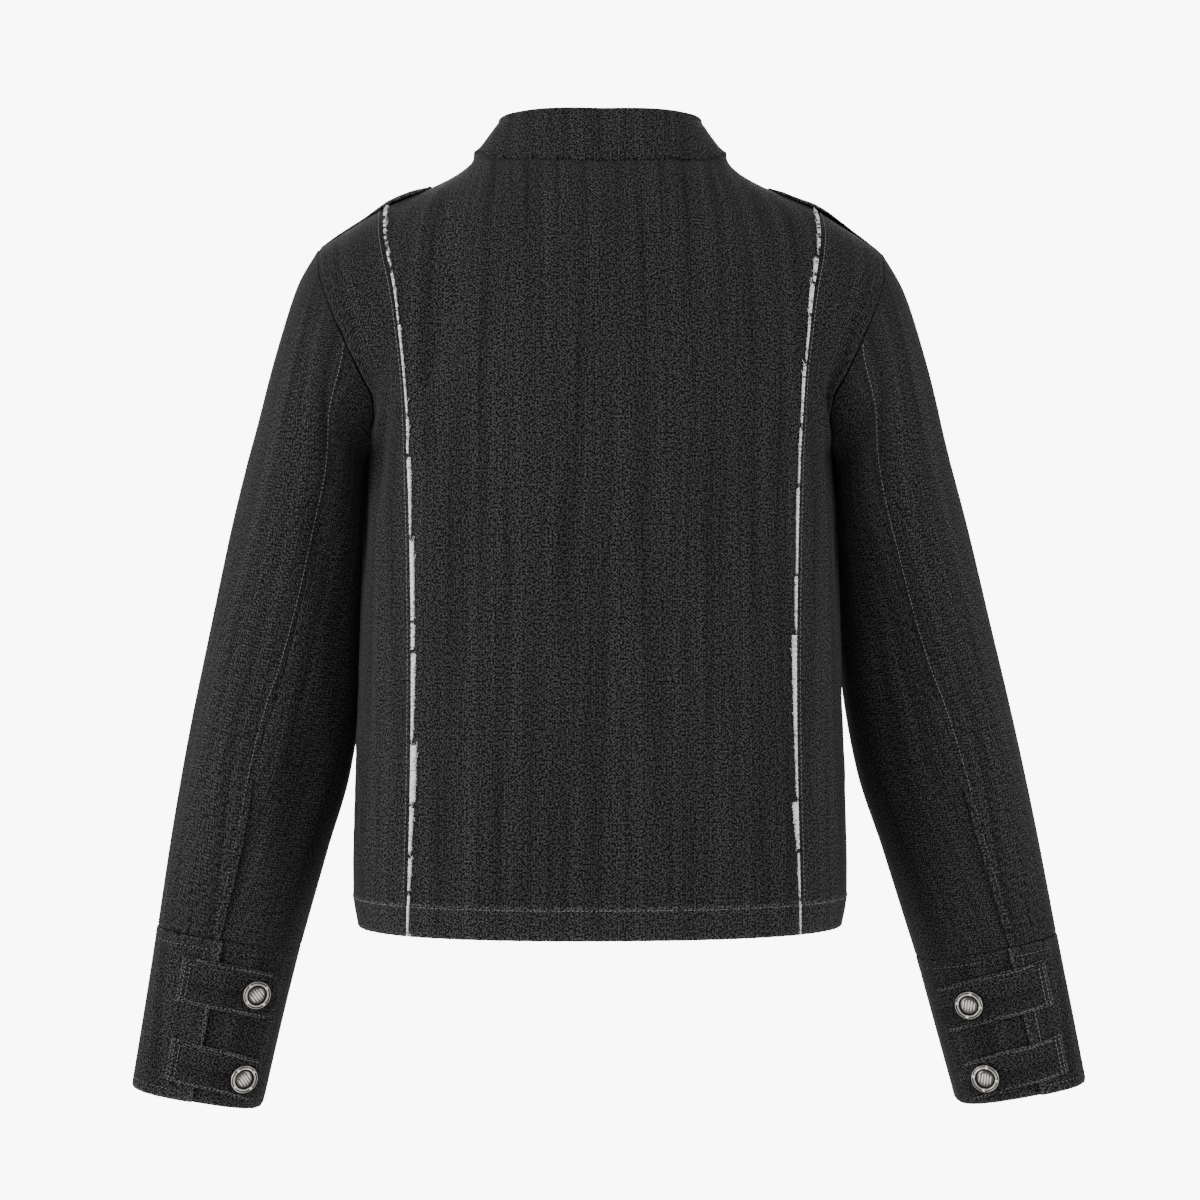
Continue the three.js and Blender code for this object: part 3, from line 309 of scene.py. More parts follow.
def seam_share(along):
    """Share where the back seam runs, found by halving until the point is as far out as the table says."""
    low, high = np.full(np.shape(along), 0.3), np.full(np.shape(along), 0.95)
    for _ in range(26):
        share = (low + high) / 2
        place = body_point(share, along, 1)
        inside = place[..., 0] < column(BACK_SEAM, 0, place[..., 2], 1)
        low, high = np.where(inside, share, low), np.where(inside, high, share)
    return low


# Sleeve and cuff form
def section_point(row, angle):
    """A section of a sleeve: angle 0 outer, 90 back, 180 inner, 270 front."""
    turn = np.radians(angle)
    c = signed_power(np.cos(turn), 2 / row[..., 6])
    s = signed_power(np.sin(turn), 2 / row[..., 6])
    across = (1 + c) / 2
    return stack(row[..., 2] + (row[..., 0] - row[..., 2]) * across, row[..., 4] + row[..., 5] * s,
                 row[..., 3] + (row[..., 1] - row[..., 3]) * across)


def armhole_ring(angle):
    """The whole armhole: the back curve up to 180 degrees and the front curve from there on."""
    turn = np.mod(angle, 360)
    return np.where((turn <= 180)[..., None], armhole(np.minimum(turn, 180), 1),
                    armhole(np.clip(360 - turn, 0, 180), -1))


def clear_of_body(place, free):
    """Moves points that would lie in the side of the body out of it, softly."""
    z = np.clip(place[..., 2], HEM_Z, UNDERARM_Z)
    half = column(BODY_RINGS, 0, z, 1)
    depth = np.where(place[..., 1] > 0, column(BODY_RINGS, 0, z, 2), column(BODY_RINGS, 0, z, 3))
    inside = 1 - np.minimum(np.abs(place[..., 1]) / depth, 1) ** RING_POWER
    least = half * inside ** (1 / RING_POWER) + SEAM_GAP + (BODY_CLEARANCE - SEAM_GAP) * free
    over = place[..., 0] - least
    moved = least + (over + np.sqrt(over * over + 0.5 * free)) / 2
    place[..., 0] = np.where(place[..., 2] > UNDERARM_Z, place[..., 0], moved)
    return place


def lean(z):
    """How far a sleeve leans in at a height: in proportion to the way down from the underarm."""
    return SLEEVE_LEAN * np.clip((UNDERARM_Z - 5 - z) / 440, 0, 1)


def sleeve_point(angle, down, side):
    """A sleeve before it is mirrored: smooth curves through the armhole and the eight sections."""
    angle, down = np.broadcast_arrays(np.asarray(angle, float), np.asarray(down, float))
    last = len(SLEEVE_SECTIONS)
    at = np.clip(down, 0, 1) * last
    i = np.minimum(np.floor(at).astype(int), last - 1)

    def ring(k):
        """One ring: the armhole or a section, which on the left is raised at the cuff."""
        row = SLEEVE_SECTIONS[np.clip(k, 1, last) - 1]
        if side > 0:
            row = row + np.append(LEFT_RAISE, 0) * (k >= last)[..., None]
        return np.where((k < 1)[..., None], armhole_ring(angle), section_point(row, angle))

    p0, p1, p2, p3 = ring(i - 1), ring(i), ring(i + 1), ring(i + 2)
    place = hermite(p1, p2, 0.5 * (p2 - p0), 0.5 * (p3 - p1), at - i)
    turned = np.mod(angle + 720, 360)
    facing = smooth(105, 150, turned) * (1 - smooth(215, 260, turned))
    place[..., 0] -= SLEEVE_PRESS * facing * smooth(0, 0.07, down) * (1 - smooth(0.62, 0.76, down))
    place = clear_of_body(place, smooth(0, 0.9, at))
    place[..., 0] -= side * lean(place[..., 2])
    return place


def sleeve_normal(angle, down, side):
    """Normal of a sleeve, out of it."""
    return -normal_of(lambda a, d: sleeve_point(a, d, side), angle, down, 2, 0.006, (-720, 720), (0, 1))


def seam_angle(down, side):
    """Angle of the sleeve's back seam: the sections' own, turned a little to the vent at the cuff."""
    rows = np.column_stack([np.arange(len(SLEEVE_SECTIONS) + 1), np.r_[90, SLEEVE_SECTIONS[:, 7]]])
    at = down * len(SLEEVE_SECTIONS)
    return column(rows, 0, at, 1) + side * CUFF_TURN * smooth(5.5, 8, at)


def front_angle(down):
    """Angle of the sleeve's front seam, in proportion to the way down."""
    return -100 - 6 * down


def cuff_point(angle, drop, side):
    """The cuff: a straight change from its top section to its hem section, over its height."""
    angle, drop = np.broadcast_arrays(np.asarray(angle, float), np.asarray(drop, float))
    low = np.clip(drop / CUFF_HEIGHT, 0, 1)[..., None]
    top = CUFF_TOP + LEFT_RAISE * (side > 0)
    place = section_point(top + (CUFF_HEM - top) * low, angle)
    place[..., 0] -= side * lean(place[..., 2])
    return place


def cuff_normal(angle, drop, side):
    """Normal of a cuff, out of it."""
    return -normal_of(lambda a, d: cuff_point(a, d, side), angle, drop, 2, 3, (-720, 720), (0, CUFF_HEIGHT))


def vent_angle(side):
    """Angle of the vent's edge on one cuff."""
    return CUFF_VENT + side * CUFF_TURN


def cuff_sink(turned):
    """How far the cuff's under end lies below its upper end: it sinks over the last degrees of the lap."""
    return UNDER_DEPTH * smooth(250, 350, turned)


# Meshes
def closed_wall(name, outer, inner, u, v, material, wear_and_highlight):
    """A closed wall from an outer and an inner grid of points in millimetres, with u and v in metres of
    cloth at each column and row as its UV map."""
    rows, columns = outer.shape[:2]
    points = np.concatenate([outer.reshape(-1, 3), inner.reshape(-1, 3)]) * MM
    index = np.arange(rows * columns).reshape(rows, columns)
    low = index + rows * columns

    def quads(a, b, c, d):
        """Faces from four grids of indices."""
        return np.stack([a, b, c, d], axis=-1).reshape(-1, 4)

    faces = np.concatenate([
        quads(index[:-1, :-1], index[:-1, 1:], index[1:, 1:], index[1:, :-1]),
        quads(low[:-1, :-1], low[1:, :-1], low[1:, 1:], low[:-1, 1:]),
        quads(index[:-1, 0], index[1:, 0], low[1:, 0], low[:-1, 0]),
        quads(index[1:, -1], index[:-1, -1], low[:-1, -1], low[1:, -1]),
        quads(index[0, 1:], index[0, :-1], low[0, :-1], low[0, 1:]),
        quads(index[-1, :-1], index[-1, 1:], low[-1, 1:], low[-1, :-1]),
    ])
    a, b, c, d = (points[faces[:, k]] for k in range(4))
    volume = ((a * np.cross(b, c)).sum() + (a * np.cross(c, d)).sum()) / 6
    if volume < 0:
        faces = faces[:, ::-1]
    flat = np.stack(np.broadcast_arrays(u, v), axis=-1).reshape(-1, 2)
    wear_and_highlight_values = np.zeros(len(points))
    wear_and_highlight_values[:rows * columns] = np.broadcast_to(wear_and_highlight, (rows, columns)).ravel()
    return put_mesh(name, points, faces, np.concatenate([flat, flat]), material, wear_and_highlight_values)


def put_mesh(name, points, faces, uv, material, wear_and_highlight_values=None):
    """A smooth mesh from points in metres and faces of one kind, with its UV map and its wear attribute."""
    mesh = bpy.data.meshes.new(name)
    corners = faces.shape[1]
    mesh.vertices.add(len(points))
    mesh.loops.add(len(faces) * corners)
    mesh.polygons.add(len(faces))
    mesh.vertices.foreach_set("co", points.astype(np.float32).ravel())
    mesh.loops.foreach_set("vertex_index", faces.astype(np.int32).ravel())
    mesh.polygons.foreach_set("loop_start", np.arange(0, len(faces) * corners, corners, dtype=np.int32))
    mesh.polygons.foreach_set("use_smooth", np.ones(len(faces), bool))
    mesh.update(calc_edges=True)
    if uv is not None:
        layer = mesh.uv_layers.new(name="cloth")
        layer.data.foreach_set("uv", uv[faces.ravel()].astype(np.float32).ravel())
    if wear_and_highlight_values is not None:
        mesh.attributes.new("wear_and_highlight", "FLOAT", "POINT").data.foreach_set("value", wear_and_highlight_values.astype(np.float32))
    mesh.materials.append(material)
    obj = bpy.data.objects.new(name, mesh)
    bpy.context.scene.collection.objects.link(obj)
    return obj


def cloth_lengths(points):
    """Metres of cloth across and along a grid, measured on it, so the weave keeps its size."""
    across = np.linalg.norm(np.diff(points, axis=1), axis=-1)
    up = np.linalg.norm(np.diff(points, axis=0), axis=-1)
    u = np.concatenate([np.zeros((len(points), 1)), np.cumsum(across, axis=1)], axis=1)
    v = np.concatenate([np.zeros((1, points.shape[1])), np.cumsum(up, axis=0)], axis=0)
    u -= u[:, [u.shape[1] // 2]]
    return u * MM, v * MM


def spaced(first, start, stop, count, last):
    """Positions on a grid: single ones near both edges, where the cloth turns in, and even ones between."""
    return np.concatenate([first, np.linspace(start, stop, int(count * DETAIL)), last])


def spread_columns(count, edge):
    """Positions from 0 to 1 with close columns at both seams."""
    return spaced([0, edge * 0.35, edge], edge * 2.2, 1 - edge * 2.2, count, [1 - edge, 1 - edge * 0.35, 1])


def edge_roll(distance, depth=0.55, reach=1.5):
    """How far the cloth turns in at a seam, from full at the edge to none at reach millimetres."""
    return -depth * (1 - smooth(0, reach, distance)) ** 1.5


def ridge(distance, middle, width):
    """A soft bump, 1 at the middle and gone at width either side."""
    return (1 - smooth(0, 1, np.abs(distance - middle) / width))


def declare(obj, solid):
    """Hides the solid that a piece replaces and hangs the piece on the root body."""
    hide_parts(solid)
    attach(obj, "root")
    return obj


def add_cloth(name, base, normal, lift, wall, wear_and_highlight):
    """A cloth piece on a grid: lift moves its outer points along the normal, and wall sets it back."""
    outer = base + normal * np.asarray(lift)[..., None]
    inner = outer - normal * np.broadcast_to(wall, lift.shape)[..., None]
    u, v = cloth_lengths(base)
    obj = closed_wall(f"{name}_cloth", outer, inner, u, v, DENIM, wear_and_highlight)
    return declare(obj, name)


# Folds
FOLD_DEPTH = 1.35
# One row for each fold of the back: share and length up of the upper end, share and length up of the
# lower end, half width in millimetres and height (a valley is negative). The first rows are the largest.
BACK_FOLDS = (
    (0.45, 460, 0.515, 330, 24, -3.0),
    (0.16, 400, 0.15, 255, 24, 1.8),
    (0.33, 310, 0.33, 180, 24, -2.0),
    (0.24, 165, 0.24, 15, 24, 1.5),
    (0.735, 380, 0.73, 280, 16, -2.8),
    (-0.3, 430, -0.42, 240, 26, -1.8),
    (-0.2, 200, -0.3, 30, 24, -1.5),
    (-0.8, 460, -0.78, 325, 18, 1.8),
    (-0.93, 450, -0.88, 290, 16, -2.6),
    (0.43, 400, 0.56, 300, 9, 0.9),
    (0.01, 380, 0.0, 300, 20, -0.8),
    (-0.12, 330, -0.17, 210, 12, 0.6),
    (0.42, 160, 0.47, 40, 11, -0.7),
    (-0.44, 170, -0.4, 60, 12, 0.7),
    (-0.06, 120, -0.1, 20, 14, 0.6),
    (0.3, 470, 0.28, 400, 10, -0.5),
    (-0.34, 480, -0.38, 400, 11, 0.5),
)
# Short folds of the side panels, where the sleeves press and the side seam pulls
SIDE_FOLDS = {LEFT: (
    (0.9, 360, 0.86, 225, 8, -1.6),
    (0.96, 175, 0.78, 128, 7, -1.3),
    (0.95, 140, 0.76, 92, 7, 1.2),
    (0.96, 112, 0.8, 60, 6, -1.0),
    (0.7, 250, 0.69, 130, 8, 0.8),
    (0.86, 90, 0.7, 34, 9, 0.8),
), RIGHT: (
    (-0.88, 320, -0.84, 190, 9, -1.4),
    (-0.95, 170, -0.8, 110, 8, -1.1),
    (-0.92, 120, -0.74, 66, 8, 0.9),
    (-0.72, 300, -0.7, 140, 9, -0.7),
)}
FRONT_FOLDS = (
    (0.5, 455, 0.44, 320, 24, -2.6),
    (0.3, 260, 0.36, 90, 24, -1.7),
    (0.62, 250, 0.58, 110, 26, 1.5),
    (-0.48, 450, -0.46, 310, 24, -2.4),
    (-0.26, 300, -0.34, 110, 26, 1.6),
    (-0.6, 230, -0.56, 70, 26, -1.6),
    (0.84, 200, 0.72, 90, 12, 1.0),
    (-0.86, 190, -0.74, 60, 12, -0.9),
    (0.5, 330, 0.58, 240, 10, 0.8),
    (-0.5, 310, -0.62, 220, 11, 0.8),
    (0.36, 430, 0.3, 330, 10, 0.7),
    (-0.22, 200, -0.26, 60, 12, 0.7),
)


def folds(table, x, y, scale_x=BODY_WIDTH, scale_y=1.0):
    """Sum of long soft folds: across each one a smooth hump, along it a swell from nothing at one end to
    nothing at the other, as half a sine wave."""
    total = np.zeros(np.broadcast(x, y).shape)
    for x1, y1, x0, y0, wide, high in table:
        dx, dy = (x1 - x0) * scale_x, (y1 - y0) * scale_y
        px, py = (x - x0) * scale_x, (y - y0) * scale_y
        part = np.clip((px * dx + py * dy) / (dx * dx + dy * dy), 0, 1)
        off = (px * dy - py * dx) / math.hypot(dx, dy)
        total = total + high * np.sin(math.pi * part) * np.exp(-1.6 * (off / wide) ** 2)
    return total


def body_fold(table, share, along, face):
    """Folds of the body, which fade at its edges and beside the front buttons."""
    out = np.abs(share)
    ends = smooth(-12, 30, along) * smooth(0, 45, BODY_LENGTH - along)
    middle = 1.0 if face > 0 else smooth(0.08, 0.2, out)
    return FOLD_DEPTH * ends * middle * (1 - smooth(0.93, 1, out)) * folds(table, share, along)


# Creases of a sleeve, one row each: angle and share down of the upper end and of the lower end, half
# width and height. The angle runs 0 outer, 90 back, 180 inner, -90 front. The first rows are the largest.
SLEEVE_FOLDS = {
    LEFT: (
        (118, 0.34, 110, 0.56, 20, -3.2),
        (122, 0.68, 120, 0.9, 18, -2.6),
        (70, 0.16, 88, 0.5, 24, 1.8),
        (40, 0.3, 52, 0.66, 24, -1.6),
        (-75, 0.42, -110, 0.56, 22, -3.2),
        (-80, 0.56, -120, 0.67, 20, -2.6),
        (-62, 0.64, -98, 0.77, 20, 2.0),
        (98, 0.08, 116, 0.3, 9, -1.4),
        (60, 0.04, 72, 0.22, 10, -1.0),
        (104, 0.6, 97, 0.84, 7, 1.2),
        (96, 0.8, 92, 1.02, 6, -1.6),
        (132, 0.5, 140, 0.72, 8, -1.3),
        (84, 0.5, 76, 0.72, 9, -0.9),
        (66, 0.72, 62, 0.98, 9, 0.8),
        (30, 0.62, 26, 0.94, 10, -0.8),
        (12, 0.1, 18, 0.4, 11, -0.8),
        (-40, 0.46, -74, 0.5, 8, 1.0),
    ),
    RIGHT: (
        (122, 0.08, 126, 0.36, 18, -2.8),
        (112, 0.42, 104, 0.74, 20, -2.4),
        (78, 0.2, 90, 0.54, 24, 1.6),
        (46, 0.34, 56, 0.74, 24, -1.5),
        (-72, 0.45, -108, 0.58, 22, -3.0),
        (-84, 0.59, -124, 0.69, 20, -2.4),
        (-60, 0.66, -96, 0.79, 20, 1.8),
        (100, 0.12, 108, 0.34, 8, 1.0),
        (66, 0.05, 74, 0.2, 10, -1.1),
        (94, 0.58, 88, 0.8, 8, 0.9),
        (90, 0.78, 86, 1.02, 6, -1.4),
        (130, 0.56, 124, 0.84, 8, -1.3),
        (70, 0.56, 64, 0.82, 9, -0.8),
        (34, 0.16, 30, 0.5, 11, 0.8),
        (20, 0.7, 24, 0.96, 10, -0.7),
        (-44, 0.5, -72, 0.54, 8, 0.9),
    ),
}


def sleeve_fold(angle, down, side):
    """Creases of a sleeve, which fade at its ends and don't stand out towards the body."""
    table = SLEEVE_FOLDS[side]
    high = FOLD_DEPTH * sum(folds(table, around, down, SLEEVE_DEGREE, -SLEEVE_LENGTH)
                            for around in (angle, angle - 360))
    turned = np.mod(angle + 720, 360)
    facing = smooth(115, 145, turned) * (1 - smooth(225, 250, turned))
    ends = smooth(0, 0.1, down) * smooth(0, 0.03, 1 - down)
    return ends * np.where(high > 0, high * (1 - facing), high)


def puckers(at, seam_distance, pitch, reach, depth, seed):
    """Small uneven puckers along a stitched seam: a wave along the seam whose pitch and height drift,
    fading away from it over reach millimetres."""
    drift = 0.35 * np.sin(at * 0.043 + seed) + 0.25 * np.sin(at * 0.021 + 2.1 * seed)
    height = 0.6 + 0.4 * np.sin(at * 0.057 + 1.3 * seed)
    wave = np.sin(2 * math.pi * at / pitch + 3 * drift)
    return depth * height * wave * np.exp(-np.abs(seam_distance) / reach)


# Materials
def new_material(name, **values):
    """A material with the given constants on its shader's own sockets, named with _ for a space."""
    material = bpy.data.materials.new(name)
    material.use_nodes = True
    shader = material.node_tree.nodes["Principled BSDF"]
    for key, value in values.items():
        shader.inputs[key.replace("_", " ")].default_value = value
    return material, material.node_tree, shader


def node(tree, kind, at):
    """A node of a kind at a place in the node editor."""
    n = tree.nodes.new(kind)
    n.location = at
    return n


def math_node(tree, operation, at, a, b=None, c=None):
    """One sum on numbers or sockets."""
    n = node(tree, "ShaderNodeMath", at)
    n.operation = operation
    for k, value in enumerate((a, b, c)):
        if value is None:
            continue
        if isinstance(value, (int, float)):
            n.inputs[k].default_value = value
        else:
            tree.links.new(value, n.inputs[k])
    return n.outputs[0]


def stretched_noise(tree, at, place, scale, detail):
    """Noise at a place times a scale for each axis."""
    stretch = node(tree, "ShaderNodeMapping", (at[0] - 200, at[1]))
    stretch.inputs["Scale"].default_value = scale
    tree.links.new(place, stretch.inputs["Vector"])
    grain = node(tree, "ShaderNodeTexNoise", at)
    grain.inputs["Scale"].default_value = 1.0
    grain.inputs["Detail"].default_value = detail
    tree.links.new(stretch.outputs[0], grain.inputs["Vector"])
    return grain.outputs[0]


def attribute(tree, name, at):
    """An attribute of the mesh as a number."""
    read = node(tree, "ShaderNodeAttribute", at)
    read.attribute_name = name
    return read.outputs["Fac"]


def two_colour_ramp(tree, at, value, stops, shader):
    """Base colour from a value: the first stop's colour up to its place, then blended to the second's."""
    ramp = node(tree, "ShaderNodeValToRGB", at)
    for element, (position, colour) in zip(ramp.color_ramp.elements, stops):
        element.position = position
        element.color = (*colour, 1)
    tree.links.new(value, ramp.inputs[0])
    tree.links.new(ramp.outputs[0], shader.inputs["Base Color"])


def weave_group():
    """Broken twill seen close: pale weft flecks on a triangle wave along slanting rows, whose slant turns
    over every column, times a triangle wave across the yarns and times noise. Slubs are noise stretched
    along the warp. Cloth is the cloth's own coordinates, and Column, Pitch and the yarn are in metres."""
    group = bpy.data.node_groups.new("denim_weave", "ShaderNodeTree")
    group.interface.new_socket("Cloth", in_out="INPUT", socket_type="NodeSocketVector")
    for name, value in (("Column", 0.0042), ("Pitch", 0.0021), ("Slub", 1.6)):
        group.interface.new_socket(name, in_out="INPUT", socket_type="NodeSocketFloat").default_value = value
    for name in ("Fleck", "Streak", "Height"):
        group.interface.new_socket(name, in_out="OUTPUT", socket_type="NodeSocketFloat")
    ins = node(group, "NodeGroupInput", (-1600, 0))
    outs = node(group, "NodeGroupOutput", (900, 0))
    cloth = ins.outputs["Cloth"]
    split = node(group, "ShaderNodeSeparateXYZ", (-1400, 0))
    group.links.new(cloth, split.inputs[0])
    x, y = split.outputs[0], split.outputs[1]
    place = math_node(group, "DIVIDE", (-1200, 100), x, ins.outputs["Column"])
    number = math_node(group, "FLOOR", (-1000, 160), place)
    odd = math_node(group, "PINGPONG", (-820, 160), number, 1.0)
    way = math_node(group, "MULTIPLY_ADD", (-640, 160), odd, 2.0, -1.0)
    row = math_node(group, "DIVIDE", (-1200, -100), y, ins.outputs["Pitch"])
    slant = math_node(group, "MULTIPLY", (-460, 160), place, way)
    shift = math_node(group, "MULTIPLY_ADD", (-280, 120), slant, 2.2, row)
    jump = math_node(group, "MULTIPLY_ADD", (-100, 120), number, 0.37, shift)
    wave = math_node(group, "FRACT", (60, 120), jump)
    pulse = math_node(group, "PINGPONG", (220, 120), wave, 0.5)
    line = math_node(group, "MULTIPLY", (380, 120), pulse, 2.0)
    yarn = math_node(group, "DIVIDE", (-1200, -300), x, 0.0018)
    yarn_wave = math_node(group, "PINGPONG", (-1000, -300), yarn, 0.5)
    yarn_line = math_node(group, "MULTIPLY_ADD", (-820, -300), yarn_wave, 1.2, 0.4)
    cross = math_node(group, "MULTIPLY", (520, 60), line, yarn_line)
    speck = node(group, "ShaderNodeTexNoise", (-460, -320))
    speck.inputs["Scale"].default_value = 730
    speck.inputs["Detail"].default_value = 2
    group.links.new(cloth, speck.inputs["Vector"])
    sharp = math_node(group, "MULTIPLY_ADD", (-260, -320), speck.outputs[0], 6.2, -2.7)
    sum_all = math_node(group, "MULTIPLY", (660, 40), cross, sharp)
    fleck = math_node(group, "MULTIPLY", (760, 40), sum_all, 2.7)
    clamped = node(group, "ShaderNodeClamp", (800, 120))
    group.links.new(fleck, clamped.inputs[0])
    group.links.new(clamped.outputs[0], outs.inputs["Fleck"])
    slub = stretched_noise(group, (-1000, -560), cloth, (95, 2.5, 1), 3)
    centred = math_node(group, "SUBTRACT", (-800, -560), slub, 0.5)
    yarns = stretched_noise(group, (-1000, -860), cloth, (420, 9, 1), 2)
    fine = math_node(group, "MULTIPLY_ADD", (-800, -860), yarns, 0.6, -0.3)
    both = math_node(group, "ADD", (-700, -700), centred, fine)
    streak = math_node(group, "MULTIPLY", (-600, -560), both, ins.outputs["Slub"])
    group.links.new(streak, outs.inputs["Streak"])
    high = math_node(group, "MULTIPLY_ADD", (660, -200), line, 0.6, streak)
    group.links.new(high, outs.inputs["Height"])
    return group


def denim_material(group, warp, fleck):
    """Denim: dark warp with pale flecks, rough, with a thin nap, times one plus the streaks and the mesh's
    edge attribute, which paints the cloth lighter at its edges: partly real fading there, partly painted
    highlight.
    """
    material, tree, shader = new_material("denim", Roughness=0.92, Specular_IOR_Level=0.08,
                                          Sheen_Weight=0.02, Sheen_Roughness=0.55)
    uv = node(tree, "ShaderNodeUVMap", (-1200, 0))
    uv.uv_map = "cloth"
    weave = node(tree, "ShaderNodeGroup", (-1000, 0))
    weave.node_tree = group
    tree.links.new(uv.outputs[0], weave.inputs["Cloth"])
    mix = node(tree, "ShaderNodeMix", (-700, 60))
    mix.data_type = "RGBA"
    mixed = [s for s in mix.inputs if s.name in ("A", "B") and s.type == "RGBA"]
    mixed[0].default_value = (warp, warp, warp * 1.02, 1)
    mixed[1].default_value = (fleck, fleck, fleck, 1)
    tree.links.new(weave.outputs["Fleck"], mix.inputs[0])
    even = math_node(tree, "ADD", (-860, -160), weave.outputs["Streak"], 1.0)
    # Painted highlight and real fading: the mesh's edge attribute lightens the cloth's colour along its
    # edges, hems and vent.
    gain = math_node(tree, "MULTIPLY_ADD", (-700, -160), attribute(tree, "wear_and_highlight", (-1000, -300)), 1.8, even)
    tint = node(tree, "ShaderNodeVectorMath", (-480, 20))
    tint.operation = "SCALE"
    colour = [s for s in mix.outputs if s.type == "RGBA"][0]
    tree.links.new(colour, tint.inputs[0])
    tree.links.new(gain, tint.inputs["Scale"])
    tree.links.new(tint.outputs[0], shader.inputs["Base Color"])
    bumper = node(tree, "ShaderNodeBump", (-300, -260))
    bumper.inputs["Strength"].default_value = 0.6
    bumper.inputs["Distance"].default_value = 0.0004
    tree.links.new(weave.outputs["Height"], bumper.inputs["Height"])
    tree.links.new(bumper.outputs[0], shader.inputs["Normal"])
    return material


def thread_material():
    """Frayed weft threads: noise stretched across the edge makes pale strands, fewer where the mesh's
    attribute marks breaks in the raw edge.
    """
    material, tree, shader = new_material("frayed_threads", Roughness=0.95, Specular_IOR_Level=0.1)
    place = node(tree, "ShaderNodeTexCoord", (-1300, 0)).outputs["Object"]
    strands = stretched_noise(tree, (-900, 0), place, (260, 260, 900), 2)
    breaks = attribute(tree, "wear_and_highlight", (-900, -250))
    less = math_node(tree, "MULTIPLY_ADD", (-650, 0), breaks, -0.34, strands)
    two_colour_ramp(tree, (-450, 0), less, ((0.29, (0.02, 0.02, 0.02)), (0.45, (0.6, 0.6, 0.59))), shader)
    return material


def silver_material():
    """Antique silver: dark in the grooves and bright where the wear attribute is high."""
    material, tree, shader = new_material("antique_silver", Metallic=1.0, Roughness=0.3)
    wear_and_highlight = attribute(tree, "wear_and_highlight", (-700, 0))
    two_colour_ramp(tree, (-450, 0), wear_and_highlight, ((0, (0.02, 0.018, 0.016)), (1, (0.86, 0.81, 0.75))), shader)
    return material


DENIM = denim_material(weave_group(), 0.0008, 0.038)
THREAD = new_material("topstitch_thread", Base_Color=(0.11, 0.11, 0.11, 1), Roughness=0.8, Metallic=0.0)[0]
FRAY = thread_material()
METAL = silver_material()


# Body panels
def roping(at, up, seed):
    """Slanting ripples of a turned hem: a sine wave whose pitch drifts along it."""
    drift = 1.6 * np.sin(at * 0.047 + seed) + 1.1 * np.sin(at * 0.021)
    return np.sin(2 * math.pi * (at - 0.7 * up) / 11 + drift)


def eased(points, weight):
    """Evens the points of each row with their neighbours, by its weight; both seams stay."""
    out = points.copy()
    share = 0.5 * np.broadcast_to(weight, points.shape[:2])[:, 3:-3, None]
    for _ in range(160):
        out[:, 3:-3] += share * ((out[:, 2:-4] + out[:, 4:-2]) / 2 - out[:, 3:-3])
    return out


def panel(name, face, side, edges, count, table, sink=None, seed=0.0):
    """A body panel between two edges, each a share at a length up from the hem: the body's surface, lifted by
    its folds, its turned hem and puckers along its seams."""
    turn_up = np.concatenate([[SEAM_GAP, 0.9, 1.9], np.linspace(3.2, HEM_DEPTH - 3, 8),
                              HEM_DEPTH + np.array([-1.6, -0.7, 0, 0.9, 2])])
    top = BODY_LENGTH - SEAM_GAP / 2
    along = spaced(turn_up, HEM_DEPTH + 5, top - 3.4, 150, [top - 1.7, top - 0.7, top])[:, None]
    part = spread_columns(count, 0.006)[None, :]
    left, right = edges[0](along), edges[1](along)
    share = side * (left + (right - left) * part)
    base = body_point(share, along, face)
    normal = body_normal(share, along, face)
    wide = (right - left) * PANEL_WIDTH
    to_left, to_right = part * wide, (1 - part) * wide
    hem = 1 - smooth(HEM_DEPTH - 1.0, HEM_DEPTH + 0.9, along)
    base = eased(base, smooth(6, 50, top - along) * smooth(LOWER_LENGTH - 40, LOWER_LENGTH + 30, along))
    lift = body_fold(table, share, along, face)
    lift = lift + 0.5 * hem + edge_roll(to_left, 0.8, 2.0) + edge_roll(to_right, 0.8, 2.0)
    lift = lift + edge_roll(along, 0.5) + edge_roll(top - along, 0.3)
    lift = lift + puckers(along, to_left, 21, 8, 0.3, seed) + puckers(along, to_right, 19, 8, 0.3, seed + 1.7)
    lift = lift + puckers(share * BODY_WIDTH, along - HEM_DEPTH, 17, 9, 0.3, seed + 3.1)
    lift = lift + 0.3 * hem * roping(share * BODY_WIDTH, along, seed)
    if sink:
        lift = lift - sink(share * side)
    # Painted highlight, partly real fading: the cut edge of the hem is painted lighter, and the turned hem
    # and its upper fold are painted lighter where the double layer catches the light.
    wear_and_highlight = 0.9 * np.exp(-along / 1.4) + 0.35 * ridge(along, HEM_DEPTH - 1, 2.5) + 0.12 * hem
    return add_cloth(name, base, normal, lift, CLOTH_WALL + 0.7 * hem, wear_and_highlight)


def before_seam(along):
    """Edge of the centre panel: half a gap short of the back seam."""
    return seam_share(along) - SHARE_GAP


def after_seam(along):
    """Inner edge of a side panel: half a gap past the back seam."""
    return seam_share(along) + SHARE_GAP


def side_edge(along):
    """Outer edge of a panel at the side seam: half a gap short of it."""
    return np.full(np.shape(along), 1 - SHARE_GAP)


def lap_edge(along):
    """Front edge of a front panel: the share past the middle at which the ring is FRONT_LAP out."""
    half = column(BODY_RINGS, 0, np.minimum(HEM_Z + along, UNDERARM_Z), 1)
    turn = np.arcsin((FRONT_LAP / half) ** (RING_POWER / 2))
    return -(turn * 2 / math.pi * (1 - 0.1 * smooth(326, 500, along)))


def lap_sink(share):
    """How far the under front lies below the upper one, from full at the lap to none beside it."""
    return (CLOTH_WALL + 1.9) * (1 - smooth(0.085, 0.175, share))


